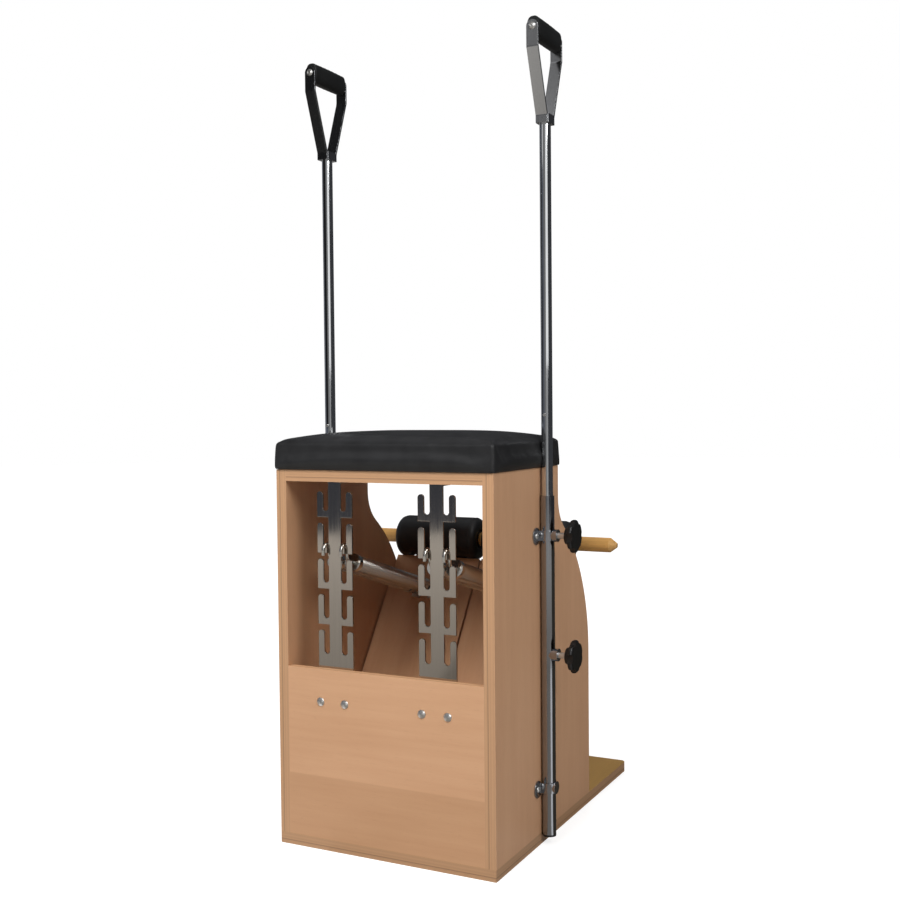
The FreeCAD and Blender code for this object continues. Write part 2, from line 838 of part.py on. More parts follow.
def top_hook(x):
    """A wire hook over the bottom of a slot, bent forward on to the spring's axis, and the spring's plug."""
    start, along, length = spring_line()
    hook_y, hook_z = hook_pivot()
    centre = Vector(x, hook_y, hook_z)
    leave = start + Vector(x, 0, 0)
    plug_start = leave + along * hook_neck
    crest = centre + AXIS_Z * hook_bend_radius
    front = centre + AXIS_Y * hook_bend_radius
    rear = centre - AXIS_Y * hook_bend_radius
    bend = leave + Vector(0, -along.z, along.y) * hook_bend_radius
    leg_foot = bend - AXIS_Y * hook_bend_radius
    middle_way = (leave - bend).normalize() - AXIS_Y
    middle = bend + middle_way.normalize() * hook_bend_radius
    path = [
        Part.LineSegment(plug_start, leave).toShape(),
        Part.Arc(leave, middle, leg_foot).toShape(),
        Part.LineSegment(leg_foot, front).toShape(),
        Part.Arc(front, crest, rear).toShape(),
        Part.LineSegment(rear, rear - AXIS_Z * hook_leg).toShape(),
    ]
    plug = rod(plug_start, along, spring_plug_diameter, spring_plug_length)
    return round_wire(path, hook_wire).fuse(plug).removeSplitter()


def spring_tail(x):
    """A ring round the anchor's pin, and a shank that runs through the spring's lower end ring."""
    start, along, length = spring_line()
    anchor_y, anchor_z = anchor_pivot()
    centre = Vector(x, anchor_y, anchor_z)
    ring = Part.makeTorus(tail_ring_radius, hook_wire / 2, centre, AXIS_X)
    shank_length = spring_plug_offset + spring_plug_length + tail_reach - tail_ring_radius
    shank = rod(centre - along * tail_ring_radius, -along, hook_wire, shank_length)
    return ring.fuse(shank).removeSplitter()


def spring_end(x):
    """The ring at the spring's lower end, with room round the tail's shank."""
    start, along, length = spring_line()
    anchor_y, anchor_z = anchor_pivot()
    face = Vector(x, anchor_y, anchor_z) - along * spring_plug_offset
    return pipe(face, -along, spring_plug_diameter, hook_wire + 2 * tail_slack, spring_plug_length)


def arc_between(begin, end, corner):
    """The arc from begin to end whose end tangents meet at the corner."""
    middle = (begin + end) / 2
    half_chord = (end - begin).Length / 2
    rise = (corner - middle).Length
    half_angle = math.atan2(rise, half_chord)
    crest = middle + (corner - middle).normalize() * half_chord * math.tan(half_angle / 2)
    return Part.Arc(begin, crest, end).toShape()


def biarc(begin, begin_way, end, end_way):
    """Two arcs with one tangent where they meet, from begin to end with the given headings."""
    chord = end - begin
    ways = begin_way + end_way
    square = 2 * begin_way.dot(end_way) - 2
    linear = -2 * chord.dot(ways)
    constant = chord.dot(chord)
    reach = (-linear - math.sqrt(linear * linear - 4 * square * constant)) / (2 * square)
    first_corner = begin + begin_way * reach
    last_corner = end - end_way * reach
    joint = (first_corner + last_corner) / 2
    return [arc_between(begin, joint, first_corner), arc_between(joint, end, last_corner)]


def coil_path(length):
    """A helix about +Z from 0 to length, whose ends turn along the axis and run straight for one wire."""
    drawn_in = coil_end_radius
    for repeat in range(4):
        pitch = (length - 2 * (coil_wire + drawn_in)) / coil_turns
        climb = math.atan2(pitch, 2 * math.pi * coil_mean_radius)
        tangent = coil_end_radius * math.tan((math.pi / 2 - climb) / 2)
        drawn_in = tangent * (1 + math.sin(climb))
    first = coil_wire + drawn_in

    def point(turns):
        angle = 2 * math.pi * turns
        around = Vector(math.cos(angle), math.sin(angle), 0) * coil_mean_radius
        return around + AXIS_Z * (first + pitch * turns)

    def heading(turns):
        angle = 2 * math.pi * turns
        flat = Vector(-math.sin(angle), math.cos(angle), 0) * math.cos(climb)
        return flat + AXIS_Z * math.sin(climb)

    entry_corner = point(0) - heading(0) * tangent
    entry = entry_corner - AXIS_Z * tangent
    edges = [Part.LineSegment(entry - AXIS_Z * coil_wire, entry).toShape()]
    edges.append(arc_between(entry, point(0), entry_corner))
    for half_turn in range(2 * coil_turns):
        begin = half_turn / 2
        end = (half_turn + 1) / 2
        edges += biarc(point(begin), heading(begin), point(end), heading(end))
    exit_corner = point(coil_turns) + heading(coil_turns) * tangent
    leave = exit_corner + AXIS_Z * tangent
    edges.append(arc_between(point(coil_turns), leave, exit_corner))
    edges.append(Part.LineSegment(leave, leave + AXIS_Z * coil_wire).toShape())
    return edges


def least_gap(edges):
    """The smallest clear distance between one turn of the wire and the next, on sampled points."""
    samples = []
    for edge in edges:
        samples += edge.discretize(6)[:-1]
    skip = len(samples) // coil_turns // 2
    least = min((a - b).Length for i, a in enumerate(samples) for b in samples[i + skip:i + 4 * skip])
    return least - coil_wire


def coil_spring(x):
    start, along, length = spring_line()
    upper = hook_neck + spring_plug_length
    lower = spring_plug_offset + spring_plug_length
    edges = coil_path(length - upper - lower)
    wire = round_wire(edges, coil_wire)
    swept = math.pi * coil_wire * coil_wire / 4 * sum(edge.Length for edge in edges)
    print("spring gap", round(least_gap(edges), 2), "volume share", round(wire.Volume / swept, 4))
    wire.rotate(Vector(0, 0, 0), AXIS_X, -math.degrees(math.atan2(along.y, along.z)))
    wire.translate(start + along * upper + Vector(x, 0, 0))
    return wire


# Pedal stops
def stop_rail():
    low = -pedal_drop + pad_thickness
    rail = box(-inner_half, inner_half, rail_start, rail_start + rail_width, low, low + board_thickness)
    return on_pedal(rail).cut(panel_dowel_holes())


def rubber_pads():
    """One pad behind each raised pedal, on the rail, and one under each pressed pedal, on the base."""
    half_length = pad_length / 2
    sides = (board_middle_x - half_length, board_middle_x + half_length)
    middle = rail_start + rail_width / 2
    reach = (middle - pad_width / 2, middle + pad_width / 2)
    upper = on_pedal(box(*sides, *reach, -pedal_drop + seat_clearance, -pedal_drop + pad_thickness))
    y = pedal_pivot_y + bumper_reach
    top = pedal_pivot_height + pedal_underside - seat_clearance
    lower = box(*sides, y - pad_width / 2, y + pad_width / 2, board_thickness, top)
    return both_sides(upper) + both_sides(lower)


# Socket tubes, clamps and knobs
def knob_heights():
    return (("upper", upper_knob_height), ("lower", lower_knob_height))


def stud_hole(height):
    axis = Vector(tube_x, pole_y, height)
    return rod(axis, AXIS_X, stud_diameter + 2 * running_clearance, boss_face - tube_x + overrun)


def socket_tube():
    """Outer tube with a welded boss for the lower clamp stud and a hole for the upper one."""
    start = Vector(tube_x, pole_y, tube_bottom)
    tube = rod(start, AXIS_Z, tube_diameter, tube_top - tube_bottom)
    boss_start = Vector(tube_x, pole_y, lower_knob_height)
    tube = tube.fuse(rod(boss_start, AXIS_X, boss_diameter, boss_face - tube_x))
    bore = rod(start - AXIS_Z * overrun, AXIS_Z, tube_bore, tube_top - tube_bottom + 2 * overrun)
    return tube.removeSplitter().cut([bore] + [stud_hole(height) for name, height in knob_heights()])


def tube_plug():
    rim = Vector(tube_x, pole_y, tube_bottom - tube_plug_rim)
    plug = rod(rim, AXIS_Z, tube_diameter, tube_plug_rim)
    return plug.fuse(rod(rim, AXIS_Z, pole_diameter, tube_plug_rim + tube_plug_length)).removeSplitter()


def saddle_clamp(height, crown):
    """A strap bent over the tube, with a round ear on each side of it and its crown drawn out to a face."""
    low = height - clamp_height / 2
    high = low + clamp_height
    axis = Vector(tube_x, pole_y, low)
    strap = rod(axis, AXIS_Z, 2 * clamp_outer, clamp_height)
    boss = rod(Vector(tube_x, pole_y, height), AXIS_X, boss_diameter, crown - tube_x)
    sides = box(half_width, tube_x, pole_y - clamp_outer, pole_y + clamp_outer, low, high)
    rows = [pole_y + way * clamp_ear_reach for way in (-1, 1)]
    ears = [rod(Vector(half_width, y, height), AXIS_X, clamp_ear_diameter, clamp_thickness) for y in rows]
    tall = max(clamp_ear_diameter, clamp_height, boss_diameter) + 2 * overrun
    bottom = height - tall / 2
    hollow = rod(Vector(tube_x, pole_y, bottom), AXIS_Z, 2 * clamp_inner, tall)
    gap = box(half_width - overrun, tube_x, pole_y - clamp_inner, pole_y + clamp_inner, bottom, bottom + tall)
    behind = box(tube_x - 2 * clamp_outer, half_width, pole_y - tall, pole_y + tall, bottom, bottom + tall)
    clamp = strap.fuse([boss, sides] + ears).cut([hollow, gap, behind])
    return clamp.cut([stud_hole(upper_knob_height)] + pan_screw_holes()).removeSplitter()


def tube_clamps():
    upper = saddle_clamp(upper_knob_height, boss_face)
    return [upper, saddle_clamp(lower_clamp_height, tube_x + clamp_outer)]


def knob_head(height):
    """A lobed knob with rounded rims and a hub towards the tube."""
    face = Vector(knob_face, pole_y, height)
    head_face = face + AXIS_X * knob_hub_length
    head = rod(head_face, AXIS_X, knob_diameter, knob_thickness)
    head = head.makeFillet(knob_round, [edge for edge in head.Edges if edge.BoundBox.XLength < knob_round])
    reach = knob_diameter / 2 + knob_scallop_radius - knob_scallop_depth
    for step in range(knob_lobes):
        turn = 2 * math.pi * step / knob_lobes
        place = head_face - AXIS_X * overrun + Vector(0, math.cos(turn), math.sin(turn)) * reach
        head = head.cut(rod(place, AXIS_X, 2 * knob_scallop_radius, knob_thickness + 2 * overrun))
    head = head.fuse(rod(face, AXIS_X, knob_hub_diameter, knob_hub_length)).removeSplitter()
    stud_hole = rod(face - AXIS_X * overrun, AXIS_X, stud_diameter, overrun + knob_stud_depth)
    return head.cut(stud_hole)


def knob_stud(height):
    """A plain stud from the knob through the boss to just short of the pole."""
    tip = tube_x + pole_diameter / 2 + seat_clearance
    return rod(Vector(tip, pole_y, height), AXIS_X, stud_diameter, knob_face + knob_stud_depth - tip)


# Poles and handles
def stop_screw_place():
    return Vector(tube_x, pole_y - pole_diameter / 2 - stop_screw_head, stop_screw_height)


def handle_pole():
    start = Vector(tube_x, pole_y, pole_bottom)
    bore = pole_diameter - 2 * pole_wall
    pole = pipe(start, AXIS_Z, pole_diameter, bore, pole_top - pole_bottom)
    hole = rod(stop_screw_place(), AXIS_Y, stop_screw_diameter + 2 * fastener_clearance, pole_diameter / 2)
    return pole.cut(hole)


def handle_socket():
    half_x = handle_socket_width / 2
    half_y = handle_socket_depth / 2
    bore = rod(Vector(tube_x, pole_y, handle_socket_bottom), AXIS_Z, tube_bore, handle_socket_length)
    top = pole_top + pole_wall
    block = box(tube_x - half_x, tube_x + half_x, pole_y - half_y, pole_y + half_y, handle_socket_bottom, top)
    return block.cut(bore)


def handle_strap(way):
    """A flat bar: upright on the socket, leaning out above it, then upright beside the grip."""
    low_y = handle_socket_depth / 2
    high_y = grip_length / 2
    top = grip_height + strap_width / 2
    lean = math.atan2(high_y - low_y, strap_shoulder_height - pole_top)
    drop = strap_thickness * math.tan(lean / 2)
    lower_points = [(low_y, handle_socket_bottom), (low_y, pole_top)]
    inner = lower_points + [(high_y, strap_shoulder_height), (high_y, top)]
    rises = (0, -drop, -drop, 0)
    outer = [(y + strap_thickness, z + rise) for (y, z), rise in zip(inner, rises)]
    outline = [(pole_y + way * y, z) for y, z in inner + outer[::-1]]
    half = strap_width / 2
    strap = across(outline, tube_x - half, tube_x + half)
    bends = (pole_top, pole_top - drop, strap_shoulder_height, strap_shoulder_height - drop)
    sides = [edge for edge in strap.Edges if edge.BoundBox.XLength > half]
    bent = [edge for edge in sides if min(abs(edge.BoundBox.ZMin - z) for z in bends) < drop / 2]
    strap = strap.makeFillet(strap_bend_radius, bent)
    thickness_edges = [edge for edge in strap.Edges if edge.BoundBox.ZMin > top - drop]
    corners = [edge for edge in thickness_edges if edge.BoundBox.YLength > strap_thickness / 2]
    rounded = [edge for edge in corners if edge.BoundBox.XLength < strap_thickness]
    strap = strap.makeFillet(half - seat_clearance, rounded)
    return strap.cut(handle_bolt_holes())


def grip_bolt_places():
    reach = grip_length / 2 + strap_thickness
    return [(Vector(tube_x, pole_y + way * reach, grip_height), AXIS_Y * -way) for way in (-1, 1)]


def handle_bolt_holes():
    return [screw_hole(*place, handle_bolt_diameter, grip_bolt_length) for place in grip_bolt_places()]


def handle_bolt(place, length):
    """A round-headed bolt with a plain round recess in its head."""
    seat, direction = place
    heads = (handle_bolt_head_diameter, handle_bolt_head_height)
    bolt = screw(seat, direction, *heads, handle_bolt_diameter, length)
    recess_start = seat - direction * (handle_bolt_head_height + overrun)
    recess = rod(recess_start, direction, handle_bolt_recess, overrun + handle_bolt_head_height / 2)
    return bolt.cut(recess)


def handle_screws():
    solids = [handle_bolt(place, grip_bolt_length) for place in grip_bolt_places()]
    solids.append(rod(stop_screw_place(), AXIS_Y, stop_screw_diameter, stop_screw_head + pole_wall))
    return solids


def handle_grip():
    start = Vector(tube_x, pole_y - grip_length / 2, grip_height)
    return rod(start, AXIS_Y, grip_diameter, grip_length).cut(handle_bolt_holes())


def save_pole_pair(name, shape):
    """The two poles are alike, and the right one is set a little higher in its tube."""
    raised = shape.copy()
    raised.translate(AXIS_Z * right_pole_setting)
    save("right_" + name, raised)
    save("left_" + name, mirrored(shape))


save("base_board", base_board())
save_pair("side_panel", side_panel())
save("top_board", top_board())
save("back_panel", back_panel())
save("panel_dowels", group(panel_dowels(panel_dowel_diameter, panel_dowel_length)))
save("wood_screws", group(base_screws() + pan_screws()))
save("seat_board", seat_board())
save("seat_cushion", seat_cushion())
save_pair("hook_plate", hook_plate())
save("hook_plate_bolts", group(hook_plate_bolts()))
save("pedal_axle", pedal_axle())
save("bearing_flanges", group(both_sides(bearing_flange())))
save("stop_rail", stop_rail())
save("rubber_pads", group(rubber_pads()))

save_pair("pedal_board", on_pedal(pedal_board()))
save_pair("pedal_hinge", on_pedal(pedal_hinge()))
save_pair("pedal_screws", on_pedal(group(pedal_screws())))
save_pair("roller_core", on_pedal(roller_core()))
save_pair("roller_pad", on_pedal(roller_pad()))
save_pair("spring_anchors", on_pedal(group([spring_anchor(x) for x in spring_offsets])))
save("link_dowel", link_dowel())

save_pair("spring_tails", group([spring_tail(x) for x in spring_offsets]))
save("spring_hooks", group([hook for x in spring_offsets for hook in both_sides(top_hook(x))]))
save("spring_ends", group([end for x in spring_offsets for end in both_sides(spring_end(x))]))
for place, offset in zip(("inner_spring", "outer_spring"), spring_offsets):
    save_pair(place, coil_spring(offset))

save_pair("socket_tube", socket_tube())
save("tube_plugs", group(both_sides(tube_plug())))
save("tube_clamps", group([solid for clamp in tube_clamps() for solid in both_sides(clamp)]))
for name, height in knob_heights():
    save_pair(name + "_knob", knob_head(height))
    save_pair(name + "_knob_stud", knob_stud(height))

save_pole_pair("pole", handle_pole())
save_pole_pair("handle_socket", handle_socket())
save_pole_pair("handle_straps", group([handle_strap(way) for way in (-1, 1)]))
save_pole_pair("handle_screws", group(handle_screws()))
save_pole_pair("handle_grip", handle_grip())
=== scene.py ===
import json
import math

import bpy
import numpy as np
from bpy.props import FloatProperty, FloatVectorProperty, IntProperty, PointerProperty
from mathutils import Matrix, Vector


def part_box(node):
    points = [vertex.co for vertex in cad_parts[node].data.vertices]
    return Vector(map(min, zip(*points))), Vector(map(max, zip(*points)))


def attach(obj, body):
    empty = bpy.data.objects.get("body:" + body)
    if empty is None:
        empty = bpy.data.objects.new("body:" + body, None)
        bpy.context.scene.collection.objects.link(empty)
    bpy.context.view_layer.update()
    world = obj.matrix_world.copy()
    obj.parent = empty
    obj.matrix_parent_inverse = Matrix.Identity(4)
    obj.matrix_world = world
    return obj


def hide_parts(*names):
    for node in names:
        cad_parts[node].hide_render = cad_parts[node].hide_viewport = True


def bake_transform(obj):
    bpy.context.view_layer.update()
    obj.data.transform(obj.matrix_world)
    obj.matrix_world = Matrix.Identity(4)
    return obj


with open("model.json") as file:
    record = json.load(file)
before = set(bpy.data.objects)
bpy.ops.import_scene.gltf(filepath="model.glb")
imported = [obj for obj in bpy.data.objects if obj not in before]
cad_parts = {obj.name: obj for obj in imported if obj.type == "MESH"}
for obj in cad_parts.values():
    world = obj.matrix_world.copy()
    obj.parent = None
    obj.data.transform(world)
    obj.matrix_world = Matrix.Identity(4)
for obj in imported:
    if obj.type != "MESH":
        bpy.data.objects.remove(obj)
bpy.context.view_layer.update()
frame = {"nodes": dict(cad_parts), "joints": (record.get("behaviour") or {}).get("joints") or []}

bl_info = {
    "name": "Pilates Chair Dressing",
    "version": (1, 0, 0),
    "blender": (4, 5, 0),
    "location": "View3D > Sidebar > Chair",
    "description": "Upholstery, springs, finishes and a studio for a sprung pilates chair",
    "category": "Object",
}

SIDES = ("left", "right")

# Pedals: board thickness, axle, lean at rest, and the undersides of the boards and of the stop rail, measured from
# the axle square to the boards
BOARD = 0.018
PEDAL_PIVOT = Vector((0, -0.223, 0.1))
PEDAL_LEAN = math.radians(55.2)
PEDAL_BOARD_UNDERSIDE = -0.064
STOP_RAIL_UNDERSIDE = -0.038

# Covers: mesh size, steps of the filling, height and radius up to which seat and rollers are tacked down, cover on the
# seat's top, and how far the rollers' seams lie from the ends and below the surface
COVER_MESH = 0.0042
FILLING_STEPS = 20
SEAT_TACKED = 0.006
ROLLER_TACKED = 0.029
SEAT_TOP_COVER = 0.001
SEAM_INSET = 0.0105
SEAM_SINK = 0.0006

# Folds at the seat's corners: points along each, their spacing, the lowest one, how deep the cord lies, and how far
# outside the seat the search for its surface starts
FOLD_POINTS = 24
FOLD_STEP = 0.0018
FOLD_FOOT = 0.002
FOLD_SINK = 0.0004
FOLD_PROBE = 0.05

# Room cut in the seat for its board and the poles, and in the grips for their bolts: radii and lengths
BOARD_ROOM = 0.0008
POLE_ROOM = 0.0116
POLE_ROOM_LENGTH = 0.2
BOLT_HOLE = 0.0036
BOLT_HOLE_LENGTH = 0.075

# Grips: rings, ribs and the turned-in rim
GRIP_RINGS = 43
GRIP_RIBS = 9
GRIP_RIBBED = 0.9
GRIP_RIM = 0.002
GRIP_RIM_START = 0.95

# Springs: sides of the wire and steps in each turn
WIRE_SIDES = 10
TURN_STEPS = 28

# Studio: floor, where its white grows, the ring of cloths round the chair, where their tone turns, and the lamps' aim
FLOOR_RADIUS = 14
FLOOR_FADE = (1.2, 6.0)
WALL = 5
ROOF = 7
CLOTH_FADE = 1.5
LAMP_AIM = Vector((0, -0.1, 0.45))

# Camera fitted to the photograph: place, turn, tilt and roll in degrees, lens and sensor in millimetres
CAMERA_PLACE = (0.9012, -1.8352, 0.6952)
CAMERA_TURN = 26.89
CAMERA_TILT = 90 - 2.05
CAMERA_ROLL = -0.52
CAMERA_LENS = 47.0
CAMERA_SENSOR = 36.0


def linear(code):
    """An sRGB hex colour as linear red, green, blue and alpha."""
    parts = [int(code[i:i + 2], 16) / 255 for i in (1, 3, 5)]
    return tuple(c / 12.92 if c <= 0.04045 else ((c + 0.055) / 1.055) ** 2.4 for c in parts) + (1.0,)


def colour(label, code, description):
    """A colour setting with its sRGB hex default."""
    return FloatVectorProperty(name=label, description=description, subtype="COLOR", size=4, min=0, max=1,
                               default=linear(code))


def length(label, default, description):
    """A length setting in metres."""
    return FloatProperty(name=label, description=description, default=default, min=0, precision=4, unit="LENGTH")


class ChairColours(bpy.types.PropertyGroup):
    veneer_pale: colour("Pale veneer", "#CFA17C", "Lighter figure of the beech face veneer")
    veneer_deep: colour("Deep veneer", "#CA9B76", "Darker figure of the beech face veneer")
    ply_edge: colour("Plywood edge", "#BE936E", "Long-grain plies on a cut edge")
    # Darker than the other boards' veneer: painted shade on the base board.
    base_veneer_painted_shade: colour("Base veneer", "#A5814A", "Face veneer of the base board")
    dowel: colour("Dowel", "#CC9B58", "Turned beech rod")
    vinyl: colour("Vinyl", "#1F1F20", "Upholstery of the seat and the rollers")
    steel: colour("Sheet steel", "#ADA69E", "Polished hook plates")
    chrome: colour("Chrome", "#DCDEE0", "Poles")
    tube: colour("Satin chrome", "#A3A5AA", "Socket tubes and clamps")
    nickel: colour("Nickel", "#D0CDC6", "Springs and their hooks")
    zinc: colour("Zinc", "#E4E3E0", "Bolts, screws, knob studs and spring anchors")
    flat_bar: colour("Flat bar", "#B6B7B9", "Polished handle straps")
    rubber: colour("Rubber", "#131414", "Moulded grips and stops")
    nylon: colour("Knobs", "#0F0F0F", "Moulded clamp knobs")


class ChairSizes(bpy.types.PropertyGroup):
    seat_swell: length("Seat swell", 0.003, "Furthest that the filling may push the seat's cover out")
    roller_swell: length("Roller swell", 0.0012, "Furthest that the filling may push a roller's cover out")
    seat_edge: length("Seat edge", 0.005, "Roundness of the seat's edges")
    seat_crown: length("Seat crown", 0.0125, "How much higher the seat is in its middle")
    seat_cloth: length("Seat cover", 0.0025, "Thickness of the cover outside the filling")
    fold: length("Corner fold", 0.0009, "Radius of the folded vinyl at each corner of the seat")
    seam: length("Roller seam", 0.0007, "Radius of the sewn seam round each roller end")
    roller_cloth: length("Roller cover", 0.0015, "Thickness of the cover outside the filling")
    spring_wire: length("Spring wire", 0.0036, "Thickness of the wire in the coils")
    spring_turns: IntProperty(name="Spring turns", description="Turns in each coil", default=64, min=8, max=100)
    grip_swell: length("Grip swell", 0.0008, "How much fuller the grip is in its middle")
    grip_rib: length("Grip rib", 0.0004, "Depth of the shallow ribs round the grip")
    grip_thickness: length("Grip thickness", 0.022, "Thickness of the grip between its flat sides")
    grip_square: FloatProperty(name="Grip squareness", default=0.75, min=0.4, max=1.0,
                               description="Power that fills out the corners of the grip: 1 is an oval")
    veneer_figure: length("Figure width", 0.012, "Spacing of the face veneer's figure across the grain")
    lower_band: length("Lower leaf", 0.099, "Height of the lower leaf of veneer on the back panel")
    ply_layer: length("Ply layer", 0.0026, "Thickness of one drawn ply on a cut edge")
    vinyl_grain: length("Vinyl grain", 0.0022, "Width of one pebble in the vinyl's embossing")


class StageSettings(bpy.types.PropertyGroup):
    key: FloatProperty(name="Key light", description="Power of the large softbox behind the chair", default=118, min=0,
                       subtype="POWER", unit="POWER")
    fill: FloatProperty(name="Side light", description="Power of the softbox on the right", default=46, min=0,
                        subtype="POWER", unit="POWER")
    front: FloatProperty(name="Front light", description="Power of the softbox beyond the chair's front", default=60,
                         min=0, subtype="POWER", unit="POWER")
    ambient: FloatProperty(name="Room light", description="Even light from all sides", default=0.22, min=0)
    floor: colour("Floor", "#A9A9A8", "Pale studio floor")
    floor_glow: FloatProperty(name="Floor white", description="Brightness of the floor that the lamps don't give",
                              default=0.78, min=0)


def put(tree, kind, inputs=None, stops=(), **settings):
    """Adds a node with its settings, and links or sets its inputs."""
    node = tree.nodes.new("ShaderNode" + kind)
    for key, value in settings.items():
        setattr(node, key, value)
    for key, value in (inputs or {}).items():
        if isinstance(value, bpy.types.NodeSocket):
            tree.links.new(value, node.inputs[key])
        else:
            node.inputs[key].default_value = value
    while 0 < len(stops) > len(node.color_ramp.elements):
        node.color_ramp.elements.new(1)
    for element, (place, tone) in zip(node.color_ramp.elements if stops else (), stops):
        element.position = place
        element.color = tone
    return node


def blank(name):
    """An empty material."""
    material = bpy.data.materials.new(name)
    material.use_nodes = True
    material.node_tree.nodes.clear()
    return material, material.node_tree


def surface(made, shader_inputs):
    """Ends a material with a principled shader."""
    material, tree = made
    shader = put(tree, "BsdfPrincipled", shader_inputs)
    put(tree, "OutputMaterial", {"Surface": shader.outputs[0]})
    return material


def noise(tree, place, per_metre, detail=3.0, roughness=0.55):
    """Noise stretched by its repeats per metre along X, Y and Z."""
    spread = put(tree, "Mapping", {"Vector": place, "Scale": per_metre})
    return put(tree, "TexNoise", {"Vector": spread.outputs[0], "Scale": 1.0, "Detail": detail,
                                  "Roughness": roughness}).outputs["Fac"]


def grey(level):
    return (level, level, level, 1.0)


def shade(tone, factor):
    """A tone made lighter or darker by a factor."""
    return tuple(min(1, c * factor) for c in tuple(tone)[:3]) + (1.0,)


# Lacquered beech plywood: rotary-cut face veneer under satin lacquer. The eye sees a warm, even tan with
# soft long figure and short dark flecks, and on a cut edge fine plies with one darker glue line.
def plywood(name, tones, sizes, corner, thickness, layer, grain, tilt=0.0, band=0.0):
    pale, deep, edge = tones
    made = blank(name)
    tree = made[1]
    own = put(tree, "Mapping", {"Vector": put(tree, "TexCoord").outputs["Object"], "Location": corner,
                                "Rotation": (tilt, 0, 0)}, vector_type="TEXTURE").outputs[0]
    depth = put(tree, "SeparateXYZ", {"Vector": own}).outputs[layer]

    def along_grain(across, stretch, detail):
        scale = [1 / across] * 3
        scale[grain] = 1 / (across * stretch)
        return noise(tree, own, scale, detail)

    figure = along_grain(sizes.veneer_figure, 18, 4.0)
    # Beech flecks are about 0.5 by 3 mm: drawn about four times as large so that they show.
    fleck = along_grain(0.0021, 7, 1.0)
    broad = along_grain(0.11, 3, 1.0)
    veneer = put(tree, "ValToRGB", {"Fac": figure}, ((0.32, deep), (0.64, pale))).outputs[0]
    spots = put(tree, "ValToRGB", {"Fac": fleck}, ((0.60, grey(0)), (0.76, grey(0.12)))).outputs[0]
    veneer = put(tree, "MixRGB", {"Fac": spots, "Color1": veneer, "Color2": shade(deep, 0.6)}).outputs[0]
    patch = put(tree, "ValToRGB", {"Fac": broad}, ((0.3, (0.94, 0.93, 0.91, 1)), (0.7, grey(1)))).outputs[0]
    veneer = put(tree, "MixRGB", {"Fac": 1.0, "Color1": veneer, "Color2": patch}, blend_type="MULTIPLY").outputs[0]
    if band:
        # The face is a little darker below a set height.
        height = put(tree, "SeparateXYZ", {"Vector": own}).outputs[2]
        lower = put(tree, "MapRange", {"Value": height, "From Min": band - 0.001, "From Max": band + 0.001}).outputs[0]
        lower_darkening = put(tree, "ValToRGB", {"Fac": lower}, ((0.0, (0.90, 0.89, 0.86, 1)), (1.0, grey(1)))).outputs[0]
        veneer = put(tree, "MixRGB", {"Fac": 1.0, "Color1": veneer, "Color2": lower_darkening},
                     blend_type="MULTIPLY").outputs[0]
    # Plies of 18 mm board are about 1.4 mm thick: drawn about twice as thick so that they show.
    ply = put(tree, "Math", {0: depth, 1: sizes.ply_layer}, operation="DIVIDE").outputs[0]
    wave = put(tree, "Math", {0: ply, 1: 1.0}, operation="PINGPONG").outputs[0]
    plies = put(tree, "ValToRGB", {"Fac": wave}, ((0.35, shade(edge, 0.93)), (0.6, edge))).outputs[0]
    glue = put(tree, "Math", {0: depth, 1: thickness * 0.36, 2: 0.0007}, operation="COMPARE").outputs[0]
    plies = put(tree, "MixRGB", {"Fac": glue, "Color1": plies, "Color2": shade(edge, 0.62)}).outputs[0]
    inside = put(tree, "Math", {0: depth, 1: thickness / 2, 2: thickness / 2 - 0.0002}, operation="COMPARE").outputs[0]
    mixed = put(tree, "MixRGB", {"Fac": inside, "Color1": veneer, "Color2": plies}).outputs[0]
    rough = put(tree, "MapRange", {"Value": figure, "To Min": 0.44, "To Max": 0.56}).outputs[0]
    bump = put(tree, "Bump", {"Height": fleck, "Strength": 0.05, "Distance": 0.0004}).outputs[0]
    return surface(made, {"Base Color": mixed, "Roughness": rough, "Normal": bump, "IOR": 1.46})


# Turned beech: a lightly oiled rod. The eye sees straight grain along it and small darker flecks.
def turned_beech(name, tone):
    made = blank(name)
    tree = made[1]
    place = put(tree, "TexCoord").outputs["Object"]
    grain = noise(tree, place, (7, 260, 260), 4.0)
    fleck = noise(tree, place, (70, 520, 520), 1.0)
    wood = put(tree, "ValToRGB", {"Fac": grain}, ((0.3, shade(tone, 0.78)), (0.66, tone))).outputs[0]
    spots = put(tree, "ValToRGB", {"Fac": fleck}, ((0.6, grey(0)), (0.72, grey(0.4)))).outputs[0]
    mixed = put(tree, "MixRGB", {"Fac": spots, "Color1": wood, "Color2": shade(tone, 0.5)}).outputs[0]
    bump = put(tree, "Bump", {"Height": grain, "Strength": 0.08, "Distance": 0.0004}).outputs[0]
    rough = put(tree, "MapRange", {"Value": grain, "To Min": 0.46, "To Max": 0.6}).outputs[0]
    return surface(made, {"Base Color": mixed, "Roughness": rough, "Normal": bump, "IOR": 1.46})


